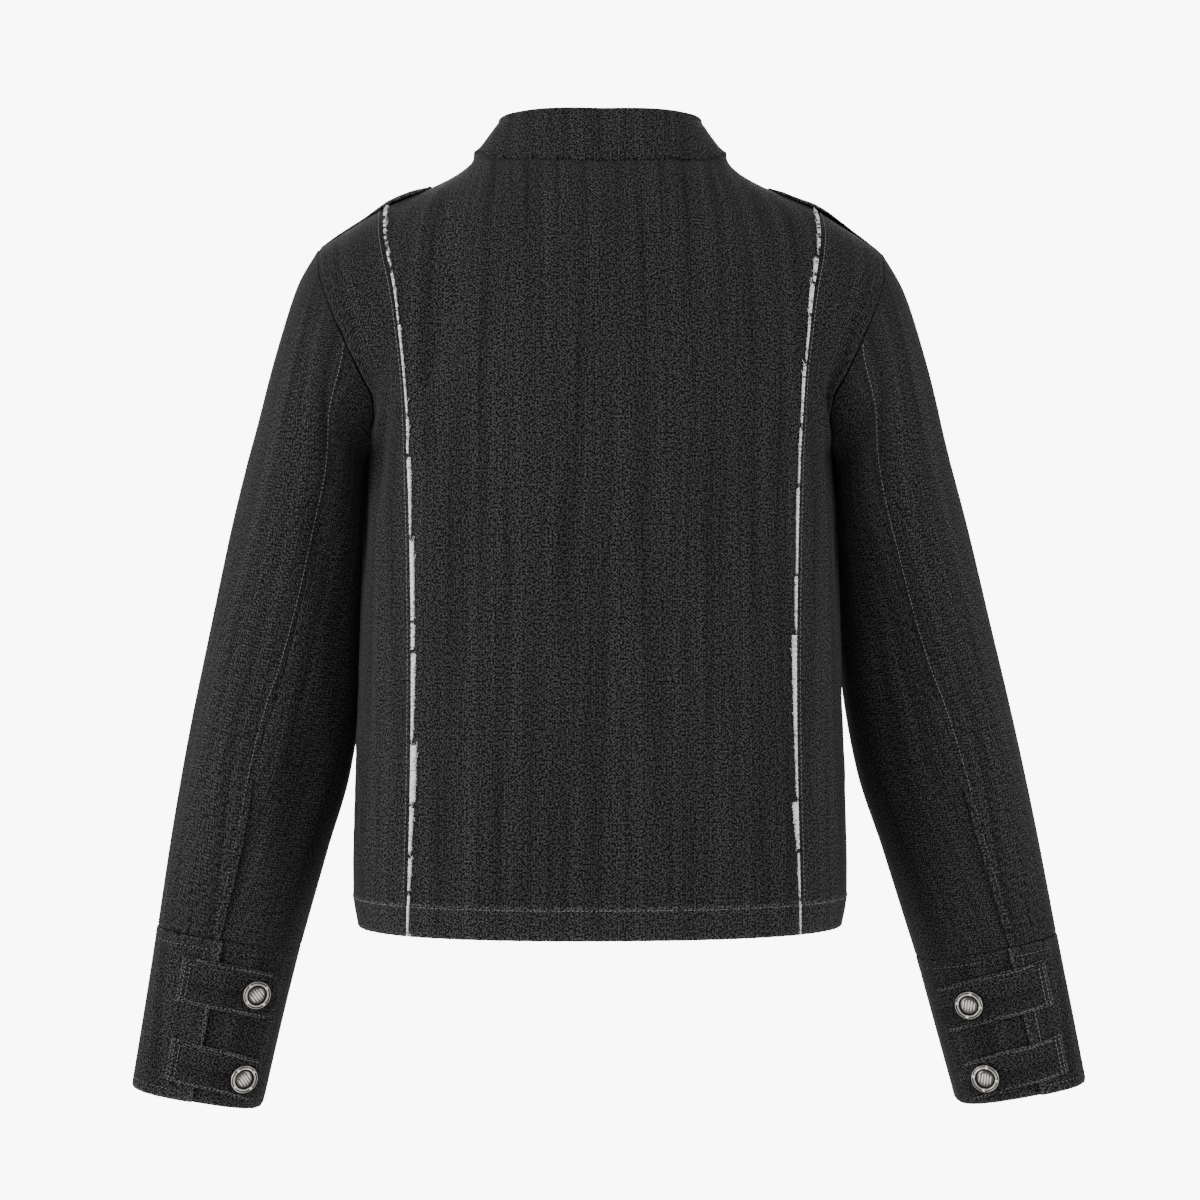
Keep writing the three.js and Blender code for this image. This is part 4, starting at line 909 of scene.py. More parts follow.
panel("back_centre", BACK, LEFT, (lambda a: -before_seam(a), before_seam), 96, BACK_FOLDS, seed=0.4)
panel("back_side_left", BACK, LEFT, (after_seam, side_edge), 40, SIDE_FOLDS[LEFT] + BACK_FOLDS, seed=1.1)
panel("back_side_right", BACK, RIGHT, (after_seam, side_edge), 40, SIDE_FOLDS[RIGHT] + BACK_FOLDS, seed=2.3)
panel("front_right", FRONT, RIGHT, (lap_edge, side_edge), 70, FRONT_FOLDS, seed=3.2)
panel("front_left", FRONT, LEFT, (lap_edge, side_edge), 70, FRONT_FOLDS, lap_sink, 4.6)


# Sleeves
def sleeve_half(name, side, start, end, count, top_half, seed):
    """A sleeve half between two seams, given by their angles at a share down the sleeve: the sleeve's
    surface, lifted by its creases and by puckers along its seams, with an open vent near the cuff."""
    down = spaced([0.0008, 0.003, 0.006], 0.011, 0.989, 150, [0.994, 0.997, 1.0])[:, None]
    part = spread_columns(count, 0.008)[None, :]
    open_vent = smooth(0.76, 0.84, down)
    first, last = start(down) + SLEEVE_SEAM_GAP, end(down) - SLEEVE_SEAM_GAP
    if not top_half:
        first = first - VENT_OVERLAP * open_vent
    angle = first + (last - first) * part
    base = sleeve_point(angle, down, side)
    normal = sleeve_normal(angle, down, side)
    wide = np.abs(last - first) * SLEEVE_DEGREE
    to_first, to_last = part * wide, (1 - part) * wide
    from_top, to_cuff = down * SLEEVE_LENGTH, SLEEVE_LENGTH - down * SLEEVE_LENGTH
    lift = sleeve_fold(angle, down, side)
    lift = lift + edge_roll(to_first, 0.7, 1.8) + edge_roll(to_last, 0.7, 1.8)
    lift = lift + edge_roll(from_top, 1.1, 2.6) + edge_roll(to_cuff, 0.8, 2.0)
    lift = lift + puckers(from_top, to_first, 16, 7, 0.3, seed)
    lift = lift + puckers(from_top, to_last, 18, 7, 0.3, seed + 0.9)
    lift = lift + puckers(angle, from_top, 14, 10, 0.4, seed + 2)
    lift = lift + puckers(angle, to_cuff, 15, 8, 0.3, seed + 3)
    back_edge = to_last if top_half else to_first
    slot = open_vent * (1 - smooth(3, 15, back_edge))
    lift = lift + slot * (1.1 if top_half else -1.5)
    # Painted highlight, partly real fading: the top half is painted lighter along its back seam edge, most of
    # all along the raised edge of the open vent.
    wear_and_highlight = 0.8 * np.exp(-back_edge / 1.2) * (0.25 + 0.75 * open_vent) * top_half
    base, normal = mirrored(base, side), mirrored(normal, side)
    return add_cloth(name, base, normal, lift, CLOTH_WALL, wear_and_highlight)


for label, side, seed in (("left", LEFT, 0.3), ("right", RIGHT, 1.9)):
    sleeve_half(f"sleeve_top_{label}", side, front_angle, lambda d, s=side: seam_angle(d, s), 80, True, seed)
    sleeve_half(f"sleeve_under_{label}", side, lambda d, s=side: seam_angle(d, s),
                lambda d: front_angle(d) + 360, 64, False, seed + 1)


# Cuffs and tabs
def cuff(label, side):
    """A band round the wrist: turned is the angle on from the vent through the outer side to the lap."""
    end, low = 360 + CUFF_LAP, CUFF_HEIGHT
    turned = spaced([0, 0.5, 1.2], 2.6, end - 2, 210, [end - 1.2, end - 0.5, end])[None, :]
    drop = spaced([0, 0.6, 1.4], 2.6, low - 2.6, 42, [low - 1.4, low - 0.6, low])[:, None]
    angle = vent_angle(side) - turned
    base = cuff_point(angle, drop, side)
    normal = cuff_normal(angle, drop, side)
    millimetres = turned * CUFF_DEGREE
    lift = -cuff_sink(turned) + edge_roll(drop) + edge_roll(CUFF_HEIGHT - drop, 0.7, 2.0)
    lift = lift + edge_roll(millimetres, 0.7, 2.0) + edge_roll((end - turned) * CUFF_DEGREE)
    for distance in (drop, CUFF_HEIGHT - drop, millimetres):
        lift = lift - 0.28 * ridge(distance, CUFF_STITCH, 1.3)
    swell = np.sin(0.071 * millimetres + 1.4 * side) + 0.6 * np.sin(0.13 * millimetres + 2.2)
    lift = lift + 0.35 * swell * np.sin(math.pi * drop / CUFF_HEIGHT)
    lift = lift + puckers(millimetres, drop, 13, 8, 0.25, side + 2.0)
    lift = lift + puckers(millimetres, CUFF_HEIGHT - drop, 15, 6, 0.18, side + 4.0)
    # Painted highlight, partly real fading: the cuff is painted lighter along its seam, its lower edge and
    # the edge of its vent.
    wear_and_highlight = np.exp(-drop / 1.3) * 0.5 + np.exp(-(CUFF_HEIGHT - drop) / 1.6) + np.exp(-millimetres / 1.4)
    base, normal = mirrored(base, side), mirrored(normal, side)
    return add_cloth(f"cuff_{label}", base, normal, lift, BAND_WALL, wear_and_highlight)


def tab_lift(on):
    """How far a tab's underside lies off the cuff: it stays level with the upper end over the lap."""
    return 0.45 - cuff_sink(360 - on) * smooth(1, 14, on)


def tab_surface(on, drop, side):
    """The cuff's surface under a tab, on degrees past the vent, moved out by tab_lift, and its normal."""
    angle = vent_angle(side) + on
    normal = cuff_normal(angle, drop, side)
    return cuff_point(angle, drop, side) + normal * tab_lift(on)[..., None], normal


def tab(key, label, side):
    """A tab over the vent: a strip whose sides close in by a smooth step at its free end, with its sewn
    end turned under."""
    top, bottom, tilt, first, last, _ = TABS[label][key]
    on = spaced([0, 0.5, 1.2], 2.4, 94.4, 90, [95, 95.6, 96])[:, None] / 96
    across = spaced([-1, -0.965, -0.9], -0.82, 0.82, 24, [0.9, 0.965, 1])[None, :]
    long = (last - first) * CUFF_DEGREE
    to_end = (1 - on) * long
    half = (bottom - top) / 2 * (0.36 + 0.64 * smooth(0, 13, to_end + 1.5) ** 0.85)
    drop = (top + bottom) / 2 + tilt * on + across * half
    base, normal = tab_surface(first + (last - first) * on, drop, side)
    from_start = on * long
    to_side = (1 - np.abs(across)) * half
    lift = TAB_WALL + edge_roll(to_side, 0.6, 1.8) + edge_roll(to_end, 0.6, 1.8)
    lift = lift + edge_roll(from_start, 0.4)
    lift = lift - 0.35 * (ridge(to_side, 2.8, 1.0) + ridge(to_end, 3.0, 1.1)) * smooth(6, 9, from_start)
    lift = lift + 0.7 * (1 - smooth(6.2, 7.6, from_start))
    lift = lift + 0.3 * np.sin(0.11 * from_start + 1.7 * side + len(key)) * np.sin(math.pi * on)
    # Painted highlight, partly real fading: the tab is painted lighter along its sides, its free end and its
    # sewn end.
    wear_and_highlight = np.exp(-to_side / 1.0) + np.exp(-to_end / 1.0) + np.exp(-from_start / 1.0)
    base, normal = mirrored(base, side), mirrored(normal, side)
    return add_cloth(f"cuff_tab_{key}_{label}", base, normal, lift, lift, wear_and_highlight)


# Collar and straps
def collar_point(angle, rise):
    """Stand collar: the seam curve at rise 0 and the narrower top curve at rise 1, with a soft belly and, at
    the sides of the neck, a waist, both half a sine wave over the rise."""
    turned = np.abs(angle)
    turn = np.radians(turned)
    seam = neck_seam(turned)
    depth = np.where(turned < 90, COLLAR_TOP_BACK, COLLAR_TOP_FRONT)
    top = stack(COLLAR_TOP_HALF_WIDTH * np.abs(np.sin(turn)) ** 0.98,
                2 * np.sin(turn) + depth * np.cos(turn), column(COLLAR_HEIGHTS, 0, turned, 2))
    place = seam + (top - seam) * np.asarray(rise)[..., None]
    belly = COLLAR_BELLY * np.sin(math.pi * np.clip(rise, 0, 1))
    waist = COLLAR_WAIST * np.sin(math.pi * np.clip(rise, 0, 1) ** 0.65) * np.sin(turn) ** 4
    place[..., 0] += (belly - waist) * np.sin(turn)
    place[..., 1] += belly * np.cos(turn)
    place[..., 2] += SEAM_GAP
    place[..., 0] *= np.where(angle < 0, -1, 1)
    return place


def collar():
    """The collar band, with its front corners cut to quarter circles of radius COLLAR_CORNER."""
    last = 180 - COLLAR_OPENING / NECK_HALF_WIDTH * RADIAN
    angle = np.linspace(-last, last, int(260 * DETAIL))[None, :]
    part = spaced([-0.045, -0.02, 0.01], 0.05, 0.93, 20, [0.96, 0.983, 1])[:, None]
    to_end = (last - np.abs(angle)) / RADIAN * COLLAR_RADIAN
    round_off = np.sqrt(np.maximum(COLLAR_CORNER ** 2 - (COLLAR_CORNER - to_end) ** 2, 0))
    short = np.where(to_end < COLLAR_CORNER, COLLAR_CORNER - round_off, 0)
    rise = part * (1 - short / COLLAR_BAND)
    base = collar_point(angle, rise)
    normal = normal_of(collar_point, angle, rise, 1, 0.02, (-180, 180), (0, 1))
    to_seam, to_top = (part - part[0]) * COLLAR_BAND, (1 - part) * COLLAR_BAND
    lift = 0.3 + edge_roll(to_top, 1.0, 2.2) - 0.8 * (1 - smooth(0.4, 2.6, to_seam))
    lift = lift - 0.3 * ridge(to_seam, 4.2, 0.9)
    lift = lift + puckers(angle * 1.5, to_seam, 14, 7, 0.25, 0.7)
    lift = lift + 0.35 * np.sin(angle * 0.062 + 0.6) * np.sin(math.pi * part)
    # Painted highlight, partly real fading: the collar is painted lighter along its top edge and its seam.
    wear_and_highlight = 0.8 * np.exp(-to_top / 1.4) + 0.5 * np.exp(-to_seam / 1.2)
    return add_cloth("collar", base, normal, lift, BAND_WALL, wear_and_highlight)


def strap_surface(out, across, side):
    """The shoulder under a strap: the body's points on both sides of the shoulder seam."""
    share = NECK_SHARE + STRAP_END_SHARE * (1 - NECK_SHARE)
    share = share + (1 - 0.012 - share) * out
    share, across = np.broadcast_arrays(share, across)
    along = BODY_LENGTH - np.abs(across) * 0.86
    place = np.where((across >= 0)[..., None], body_point(share, along, 1), body_point(share, along, -1))
    back = body_normal(share, BODY_LENGTH - np.maximum(across, 0) * 0.86, 1)
    front = body_normal(share, BODY_LENGTH - np.maximum(-across, 0) * 0.86, -1)
    lean_back = smooth(-12, 12, across)[..., None]
    normal = unit(front + (back - front) * lean_back)
    return mirrored(place, side), mirrored(normal, side)


def strap_lift(out, side):
    """How far a strap stands off the shoulder: a bell curve over its length, lower on the left."""
    high = STRAP_LIFT * (1 if side < 0 else 0.6) * smooth(0, 0.2, out)
    return STRAP_GAP + high * np.exp(-((out - STRAP_BULGE[side]) / 0.2) ** 2)


def strap(label, side):
    """A shoulder strap: a strip on the shoulder whose sides close in by a smooth step at its inner end."""
    out = spaced([0, 0.008, 0.02], 0.04, 0.975, 60, [0.99, 1])[:, None]
    across = spaced([-1, -0.97, -0.92], -0.85, 0.85, 36, [0.92, 0.97, 1])[None, :]
    narrow = 0.5 + 0.5 * smooth(0, 12, out * STRAP_LENGTH + 1) ** 0.8
    half = STRAP_WIDTH / 2 * narrow
    forward = STRAP_FORWARD + 9 * smooth(0.35, 0.6, out)
    base, normal = strap_surface(out, across * half - forward, side)
    base = base + normal * strap_lift(out, side)[..., None]
    to_side, to_end = (1 - np.abs(across)) * half, out * STRAP_LENGTH
    thin = (0.5 + 0.5 * smooth(0, 12, to_end)) * (1 - 0.45 * smooth(0.35, 0.65, out))
    thin = thin * (1 - 0.6 * smooth(0.84, 1, out))
    lift = STRAP_WALL * thin + edge_roll(to_side, 0.5, 1.8) + edge_roll(to_end, 0.5, 1.8)
    lift = lift - 0.25 * (ridge(to_side, 3.8, 1.1) + ridge(to_end, 3.8, 1.1))
    # Painted highlight, partly real fading: the strap is painted lighter along its sides and its inner end.
    wear_and_highlight = np.exp(-to_side / 1.1) + 1.2 * np.exp(-to_end / 1.4)
    return add_cloth(f"epaulette_{label}", base, normal, lift, lift, wear_and_highlight)


collar()
for label, side in SIDES:
    cuff(label, side)
    strap(label, side)
    for key in TABS[label]:
        tab(key, label, side)


# Stitches
def one_mesh(parts):
    """Points and faces of many small closed meshes, each (points, faces), with the faces counted on."""
    starts = np.cumsum([0] + [len(points) for points, _ in parts[:-1]])
    faces = np.concatenate([faces + start for (_, faces), start in zip(parts, starts)])
    return np.concatenate([points for points, _ in parts]), faces


def joined(name, parts, material):
    """Joins many small closed meshes, each (points in millimetres, faces), into one piece."""
    points, faces = one_mesh(parts)
    obj = put_mesh(name, points * MM, faces, None, material)
    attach(obj, "root")
    return obj


def stitch_run(line, normal, side=LEFT, long=2.3, wide=0.62, high=0.34):
    """Thread stitches along a line at a steady pitch: each is a small closed bar with a raised middle, laid
    on the cloth."""
    line, normal = mirrored(line, side), mirrored(normal, side)
    step = np.linalg.norm(np.diff(line, axis=0), axis=1)
    run = np.concatenate([[0], np.cumsum(step)])
    count = max(int(run[-1] / STITCH_PITCH), 1)
    middle = (np.arange(count) + 0.5) * STITCH_PITCH

    def read(rows, at):
        """The rows at given lengths along the line."""
        return np.stack([np.interp(at, run, rows[:, c]) for c in range(3)], 1)

    ends = [read(line, middle + k * long / 2) for k in (-1, 0, 1)]
    out = unit(read(normal, middle))
    along = unit(ends[2] - ends[0])
    half = np.cross(out, along) * wide / 2
    rows = []
    for k, (up, w) in enumerate(((-0.05, 0.5), (1.0, 1.0), (-0.05, 0.5))):
        top, low = ends[k] + out * high * up, ends[k] - out * 0.3
        rows += [low - half * w, low + half * w, top + half * w * 0.7, top - half * w * 0.7]
    points = np.stack(rows, axis=1)
    ring = np.array([[0, 1, 5, 4], [1, 2, 6, 5], [2, 3, 7, 6], [3, 0, 4, 7]])
    faces = np.concatenate([ring, ring + 4, [[3, 2, 1, 0], [8, 9, 10, 11]]])
    every = faces[None] + (np.arange(count) * 12)[:, None, None]
    return points.reshape(-1, 3), every.reshape(-1, 4)


def body_stitches(share, along, face, table, lift=0.0):
    """A row of stitches on a body half, lifted by its folds."""
    normal = body_normal(share, along, face)
    out = lift + body_fold(table, share, along, face)[:, None]
    return stitch_run(body_point(share, along, face) + normal * out, normal)


def collar_stitches():
    """A row of stitches along the foot of the collar."""
    angle = np.linspace(-176, 176, 500)
    line = collar_point(angle, np.full(500, COLLAR_STITCH / COLLAR_BAND))
    return stitch_run(line, normal_of(collar_point, angle, np.full(500, 0.07), 1, 0.02, (-180, 180), (0, 1)))


def sleeve_stitches(side):
    """A row of stitches beside the sleeve's back seam, lifted by its creases and at the open vent."""
    down = np.linspace(0.01, 0.995, 500)
    angle = seam_angle(down, side) - SLEEVE_STITCH
    lift = sleeve_fold(angle, down, side) + 0.9 * smooth(0.76, 0.84, down)
    normal = sleeve_normal(angle, down, side)
    return stitch_run(sleeve_point(angle, down, side) + normal * lift[:, None], normal, side)


def cuff_stitches(turned, drop, side):
    """A row of stitches in a groove of the cuff, on degrees on from the vent's edge."""
    angle = vent_angle(side) - turned
    normal = cuff_normal(angle, drop, side)
    line = cuff_point(angle, drop, side) + normal * (-cuff_sink(turned) - 0.2)[:, None]
    return stitch_run(line, normal, side)


def tab_stitches(label, side, key):
    """Four rows of stitches on a tab: along both sides, and two across its sewn end."""
    top, bottom, tilt, first, last, _ = TABS[label][key]
    middle, half, long = (top + bottom) / 2, (bottom - top) / 2, (last - first) * CUFF_DEGREE
    t = np.linspace(0, 1, 240)
    runs = []
    for run, across, inset in ((8.5 + (long - 17) * t, 1.0, 1.7), (8.5 + (long - 17) * t, -1.0, 1.7),
                               (np.full(240, 3.0), 1 - 2 * t, 1.2), (np.full(240, 6.2), 1 - 2 * t, 1.2)):
        drop = middle + tilt * run / long + across * (half - inset)
        base, normal = tab_surface(first + run / CUFF_DEGREE, drop, side)
        high = TAB_WALL + np.where(run < 7, 0.65, -0.15)
        runs.append(stitch_run(base + normal * high[:, None], normal, side))
    return runs


hem_share, at_hem = np.linspace(-0.995, 0.995, 700), np.full(700, HEM_DEPTH - HEM_STITCH)
runs = [body_stitches(hem_share, at_hem, BACK, BACK_FOLDS, 0.5),
        body_stitches(hem_share, at_hem, FRONT, FRONT_FOLDS, 0.5)]
for side in (LEFT, RIGHT):
    up = np.linspace(2, BODY_LENGTH - 3, 500)
    beside_seam = side * (seam_share(up) + BACK_SEAM_STITCH / PANEL_WIDTH)
    runs.append(body_stitches(beside_seam, up, BACK, SIDE_FOLDS[side] + BACK_FOLDS))
joined("body_topstitch", runs, THREAD)

runs = [collar_stitches()]
for side in (LEFT, RIGHT):
    runs.append(sleeve_stitches(side))
    for depth in (CUFF_STITCH, CUFF_HEIGHT - CUFF_STITCH):
        runs.append(cuff_stitches(np.linspace(3, 350, 400), np.full(400, depth), side))
    at_vent = np.full(200, CUFF_STITCH / CUFF_DEGREE)
    runs.append(cuff_stitches(at_vent, np.linspace(8, CUFF_HEIGHT - 8, 200), side))
joined("sleeve_topstitch", runs, THREAD)

runs = [run for label, side in SIDES for key in TABS[label] for run in tab_stitches(label, side, key)]
joined("tab_topstitch", runs, THREAD)


# Frayed seam edges

# Columns: height where a tuft starts, width there and width at its lower end
FRAY_TUFTS_LEFT = np.array([[-36, 3.4, 1.3], [-66, 2.6, 1.4], [-86, 2.0, 1.5], [-124, 2.6, 1.6],
                            [-186, 2.4, 2.0], [-212, 3.9, 1.2], [-267, 3.9, 3.0], [-324, 3.4, 3.0],
                            [-343, 4.2, 1.7], [-404, 5.0, 4.4], [-446, 3.6, 2.0], [-480, 3.2, 1.7],
                            [-505, 2.0, 1.7]], float)
FRAY_TUFTS_RIGHT = np.array([[-36, 3.2, 2.0], [-76, 3.6, 2.4], [-96, 4.0, 3.2], [-118, 2.8, 1.2],
                             [-150, 3.6, 1.6], [-192, 2.4, 1.3], [-232, 2.8, 1.4], [-292, 2.9, 1.3],
                             [-331, 4.6, 1.3], [-443, 5.6, 2.0],
                             [-478, 1.8, 1.2], [-510, 1.6, 1.2]], float)


def fray_width(rows, z):
    """Width of the frayed edge at a height: it tapers from the start of each tuft to its lower end."""
    i = np.clip(np.searchsorted(-rows[:, 0], -z, side="right") - 1, 0, len(rows) - 1)
    end = np.append(rows[1:, 0], HEM_Z)[i]
    part = np.clip((rows[i, 0] - z) / (rows[i, 0] - end), 0, 1)
    return rows[i, 1] + (rows[i, 2] - rows[i, 1]) * part


def frayed_edge(label, side, rows, seed):
    """The raw edge: a band of loose weft threads that lies on the centre panel. Its width is the tufts'
    own, notched by a bell curve where each starts, with sine waves and noise for teeth."""
    rng = np.random.default_rng(seed)
    a = np.linspace(1.0, BODY_LENGTH - 1.5, 1500)
    share = seam_share(a)
    z = body_point(share, a, 1)[..., 2]
    width = (1.2 - 0.35 * smooth(-60, -36, z)) * fray_width(rows, z)
    for start in rows[:, 0]:
        width = width * (1 - 0.8 * np.exp(-((z - start - 1.2) / 1.3) ** 2))
    teeth = 0.25 * np.sin(a * 2.9) + 0.2 * np.sin(a * 4.7 + 1.3) + 0.16 * rng.standard_normal(len(a))
    width = np.maximum(width * (1 + 0.18 * teeth) + 0.35 * teeth, 0.7)
    part = np.array([0.0, 0.3, 0.7, 1.0])[None, :]
    across = width[:, None] * part
    s = side * (share[:, None] + 0.35 / PANEL_WIDTH - across / PANEL_WIDTH)
    along = a[:, None]
    base = body_point(s, along, 1)
    normal = body_normal(s, along, 1)
    low = body_fold(BACK_FOLDS, s, along, 1)
    hem = 1 - smooth(HEM_DEPTH - 1.0, HEM_DEPTH + 0.9, along)
    wobble = 0.18 * np.sin(along * 1.9 + 4 * part) + 0.1 * rng.standard_normal(s.shape)
    lift = low + 0.5 * hem + 0.55 + 0.35 * np.sin(math.pi * part) + wobble
    outer = base + normal * lift[..., None]
    inner = base + normal * (low + 0.5 * hem - 0.2)[..., None]
    u, v = cloth_lengths(base)
    starts = np.exp(-((z[:, None] - rows[None, :, 0] - 1.0) / 1.6) ** 2).max(axis=1)
    upper = 0.55 * smooth(-110, -60, z) + 0.25 * smooth(-260, -200, z)
    wear_and_highlight_values = (starts + upper * (0.5 + 0.5 * np.sin(a * 0.9 + 2.4 * np.sin(a * 0.23 + seed))))[:, None]
    obj = closed_wall(f"raw_edge_{label}_fringe", outer, inner, u, v, FRAY, wear_and_highlight_values)
    declare(obj, f"raw_edge_{label}")
    return a, share, width


def loose_threads(label, side, a, share, width, seed):
    """Single threads that stand out of the raw edge: thin bent bars, longer where a tuft starts."""
    rng = np.random.default_rng(seed)
    count = 420
    pick = rng.integers(0, len(a), count)
    long = (1.0 + 2.2 * rng.random(count) ** 2) * (0.6 + 0.14 * width[pick])
    slope = rng.normal(0, 0.9, count)
    t = np.linspace(0, 1, 4)
    out_mm = width[pick, None] * 0.55 + long[:, None] * t
    up_mm = slope[:, None] * long[:, None] * t ** 1.5
    s = side * (share[pick, None] - out_mm / PANEL_WIDTH)
    along = np.clip(a[pick, None] + up_mm, 1, BODY_LENGTH - 2)
    normal = body_normal(s, along, 1)
    height = body_fold(BACK_FOLDS, s, along, 1) + 0.7 + rng.random((count, 1)) * 1.0 * t
    centre = body_point(s, along, 1) + normal * height[..., None]
    along_dir = unit(np.gradient(centre, axis=1))
    across = unit(np.cross(along_dir, normal))
    thick = 0.16
    ring = [centre + around * thick for around in (across, normal, -across, -normal)]
    points = np.stack(ring, axis=2).reshape(count, -1, 3)
    quad = np.array([[k * 4 + i, k * 4 + (i + 1) % 4, (k + 1) * 4 + (i + 1) % 4, (k + 1) * 4 + i]
                     for k in range(3) for i in range(4)] + [[3, 2, 1, 0], [12, 13, 14, 15]])
    every = quad[None] + (np.arange(count) * 16)[:, None, None]
    joined(f"loose_threads_{label}", [(points.reshape(-1, 3), every.reshape(-1, 4))], FRAY)


for label, side, rows, seed in (("left", LEFT, FRAY_TUFTS_LEFT, 11), ("right", RIGHT, FRAY_TUFTS_RIGHT, 23)):
    a, share, width = frayed_edge(label, side, rows, seed)
    loose_threads(label, side, a, share, width, seed + 1)


# Buttons
def turned_button(rings, sides):
    """A turned button face: rings of radius and height, closed on the axis at both ends."""
    turn = np.linspace(0, 2 * math.pi, sides, endpoint=False)
    points = [np.array([[0, 0, rings[0][1]]])]
    for radius, height in rings[1:-1]:
        points.append(np.stack([radius * np.cos(turn), radius * np.sin(turn), np.full(sides, height)], 1))
    points.append(np.array([[0, 0, rings[-1][1]]]))
    points = np.concatenate(points)
    k = np.arange(sides)
    after = (k + 1) % sides
    zero = np.zeros(sides, int)
    faces = [np.stack([zero, 1 + after, 1 + k, 1 + k], 1)]
    for r in range(len(rings) - 3):
        a, b = 1 + r * sides, 1 + (r + 1) * sides
        faces.append(np.stack([a + k, a + after, b + after, b + k], 1))
    a, last = 1 + (len(rings) - 3) * sides, len(points) - 1
    faces.append(np.stack([a + k, a + after, zero + last, zero + last], 1))
    return points, np.concatenate(faces)


# Profile of the button face: shares of its radius and of its height
BUTTON_PROFILE = (
    (0, 0), (0.42, 0), (0.42, 0.22), (0.9, 0.27), (0.97, 0.36), (1, 0.48), (0.99, 0.6), (0.96, 0.68),
    (0.925, 0.6), (0.87, 0.55), (0.84, 0.68), (0.76, 0.72), (0.72, 0.64), (0.7, 0.5), (0.66, 0.46),
    (0.62, 0.5), (0.57, 0.59), (0.42, 0.63), (0.2, 0.66), (0, 0.67),
)
# Profiles of a boss and of a flute: radius and height
BOSS_PROFILE = ((0, 0), (1.25, 0.0), (1.2, 0.5), (0.8, 0.95), (0, 1.1))
FLUTE_PROFILE = ((0, 0), (1, 0), (0.85, 0.5), (0.4, 0.8), (0, 0.88))
# Dark grooves of the face: share of the radius and half width
BUTTON_GROOVES = ((0.67, 0.06), (0.895, 0.035))


def button_parts():
    """Rim with two rings, a dark groove, a domed centre with plain flutes, and four bosses on the rim."""
    r, h = BUTTON_RADIUS, BUTTON_HEIGHT
    parts = [turned_button([(r * out, h * up) for out, up in BUTTON_PROFILE], 48)]
    for k in range(4):
        points, faces = turned_button(BOSS_PROFILE, 12)
        turn = math.pi / 2 * k
        points = points + np.array([r * 0.83 * math.cos(turn), r * 0.83 * math.sin(turn), h * 0.58])
        parts.append((points, faces))
    for k in range(-2, 3):
        reach = r * 0.5 * math.sqrt(max(1 - (k * 0.36) ** 2, 0.1))
        points, faces = turned_button(FLUTE_PROFILE, 12)
        points = points * np.array([0.62, reach, 1.25]) + np.array([k * 1.95, 0, h * 0.6])
        parts.append((points, faces))
    return parts


def place_button(name, spot, out, tilt=0.0):
    """Puts a button on a surface point with its face along out and its flutes at a tilt from upright. Wear
    is high on the rings, the bosses and the flutes, and low in the grooves, each a bell curve."""
    out = unit(np.asarray(out, float))
    flutes = np.array([math.sin(tilt), 0, math.cos(tilt)])
    up = unit(flutes - out * (flutes @ out))
    turn = np.stack([np.cross(up, out), up, out], axis=1)
    points, faces = one_mesh([(p @ turn.T + spot, f) for p, f in BUTTON])
    mesh = bpy.data.meshes.new(f"{name}_metal")
    mesh.from_pydata((points * MM).tolist(), [], [list(dict.fromkeys(f)) for f in faces.tolist()])
    mesh.polygons.foreach_set("use_smooth", np.ones(len(mesh.polygons), bool))
    mesh.materials.append(METAL)
    away = points - spot
    height = away @ out / BUTTON_HEIGHT
    radius = np.linalg.norm(away - (away @ out)[:, None] * out, axis=1) / BUTTON_RADIUS
    groove = sum(np.exp(-((radius - middle) / wide) ** 2) for middle, wide in BUTTON_GROOVES)
    rim = np.clip((height - 0.5) * 5 - 1.2 * groove, 0, 0.5) + 0.5 * smooth(0.72, 0.77, height)
    wear_and_highlight_values = np.where(radius < 0.6, np.clip((height - 0.62) * 8, 0.12, 1), rim)
    mesh.attributes.new("wear_and_highlight", "FLOAT", "POINT").data.foreach_set("value", wear_and_highlight_values.astype(np.float32))
    obj = bpy.data.objects.new(f"{name}_metal", mesh)
    bpy.context.scene.collection.objects.link(obj)
    return declare(obj, name)


BUTTON = button_parts()
for label, side in SIDES:
    for key, (top, bottom, tilt, first, last, where) in TABS[label].items():
        middle = np.array((top + bottom) / 2 + tilt * (where - first) / (last - first))
        base, normal = tab_surface(np.array(where), middle, side)
        spot = base + normal * (TAB_WALL + BUTTON_SEAT)
        place_button(f"cuff_button_{key}_{label}", mirrored(spot, side), mirrored(normal, side),
                     BUTTON_TILT[side])
for k, z in enumerate(FRONT_BUTTONS):
    a = np.linspace(20, BODY_LENGTH - 10, 2000)
    at = float(np.interp(z, body_point(np.zeros(2000), a, -1)[:, 2], a))
    rise = 0.5 * (1 - float(smooth(HEM_DEPTH - 1.3, HEM_DEPTH + 1.3, at)))
    base, normal = body_point(0.0, at, -1), body_normal(0.0, at, -1)
    place_button(f"front_button_{k + 1}", base + normal * (0.5 + rise), normal)


# Stage, light and camera
def soft_light(name, place, aim, size, power):
    """A soft box at a place, turned to its aim."""
    light = bpy.data.lights.new(name, "AREA")
    light.shape = "RECTANGLE"
    light.size, light.size_y = size
    light.energy = power
    obj = bpy.data.objects.new(name, light)
    direction = np.array(aim, float) - np.array(place, float)
    flat = math.hypot(direction[0], direction[1])
    heading = math.atan2(direction[1], direction[0]) - math.pi / 2
    obj.rotation_euler = (math.atan2(flat, -direction[2]), 0, heading)
    obj.location = place
    bpy.context.scene.collection.objects.link(obj)
    return obj


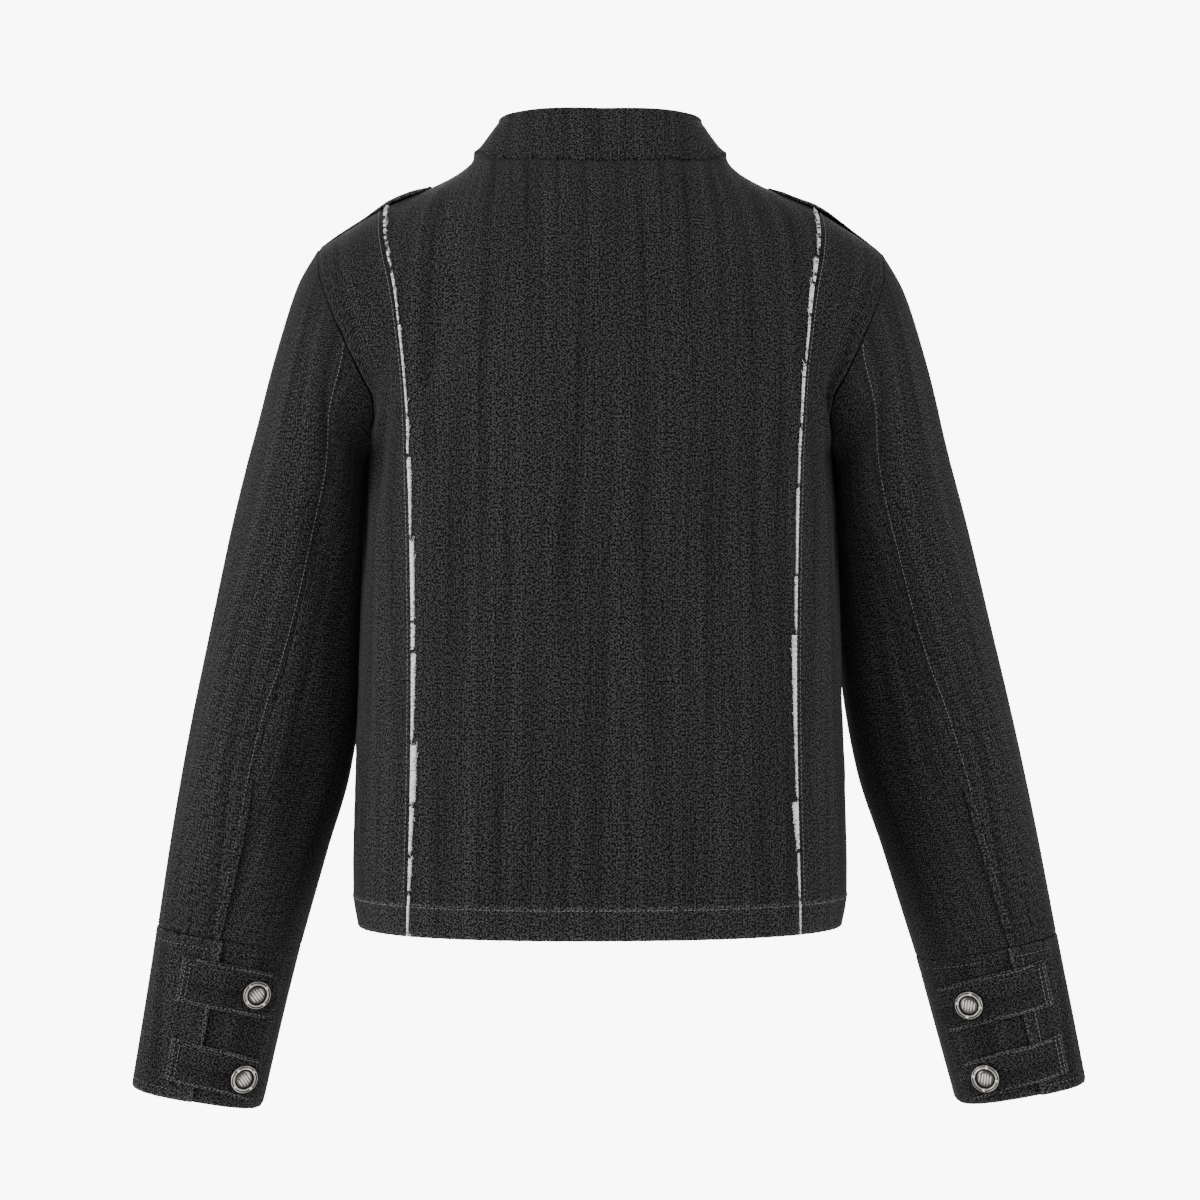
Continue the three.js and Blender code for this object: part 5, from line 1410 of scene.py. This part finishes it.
def seen_white(tree, lit, kind, outlet):
    """Camera rays meet plain white of a kind of shader, and every other ray meets the lit shader."""
    ray = node(tree, "ShaderNodeLightPath", (-300, 300))
    white = node(tree, kind, (-300, -300))
    white.inputs["Color"].default_value = (1, 1, 1, 1)
    white.inputs["Strength"].default_value = WHITE
    either = node(tree, "ShaderNodeMixShader", (100, 0))
    tree.links.new(ray.outputs["Is Camera Ray"], either.inputs[0])
    tree.links.new(lit.outputs[0], either.inputs[1])
    tree.links.new(white.outputs[0], either.inputs[2])
    tree.links.new(either.outputs[0], outlet.inputs["Surface"])


WHITE = 9.0
FLOOR_Z = -0.72
FLOOR_REACH = 9.0
floor_corners = [(x * FLOOR_REACH, y * FLOOR_REACH, FLOOR_Z) for x, y in ((-1, -1), (1, -1), (1, 1), (-1, 1))]
floor_mesh = bpy.data.meshes.new("studio_floor")
floor_mesh.from_pydata(floor_corners, [], [(0, 1, 2, 3)])
floor = bpy.data.objects.new("studio_floor", floor_mesh)
pale, ground, floor_shader = new_material("pale_floor", Base_Color=(0.9, 0.9, 0.9, 1), Roughness=0.9)
seen_white(ground, floor_shader, "ShaderNodeEmission", ground.nodes["Material Output"])
floor_mesh.materials.append(pale)
bpy.context.scene.collection.objects.link(floor)

world = bpy.data.worlds.new("studio")
bpy.context.scene.world = world
world.use_nodes = True
around = world.node_tree.nodes["Background"]
around.inputs["Color"].default_value = (1, 1, 1, 1)
around.inputs["Strength"].default_value = 0.45
seen_white(world.node_tree, around, "ShaderNodeBackground", world.node_tree.nodes["World Output"])
aim = (0, 0, -0.31)
soft_light("side_left", (2.1, 1.15, -0.1), aim, (1.0, 2.0), 84)
soft_light("side_right", (-2.1, 1.0, -0.1), aim, (1.0, 2.0), 54)
soft_light("above", (0.3, 1.3, 2.0), aim, (1.6, 1.0), 30)
soft_light("front_fill", (0.0, -2.2, 1.0), aim, (1.8, 1.2), 64)

CAMERA_AZIMUTH = math.radians(178.0)
CAMERA_DISTANCE = 2.0
CAMERA_Z = -0.308
camera_data = bpy.data.cameras.new("camera")
camera_data.lens = 85.7
camera_data.sensor_width = 36
camera = bpy.data.objects.new("camera", camera_data)
camera.location = (CAMERA_DISTANCE * math.sin(CAMERA_AZIMUTH), -CAMERA_DISTANCE * math.cos(CAMERA_AZIMUTH),
                   CAMERA_Z)
camera.rotation_euler = (math.pi / 2, 0, CAMERA_AZIMUTH)
bpy.context.scene.collection.objects.link(camera)
bpy.context.scene.camera = camera
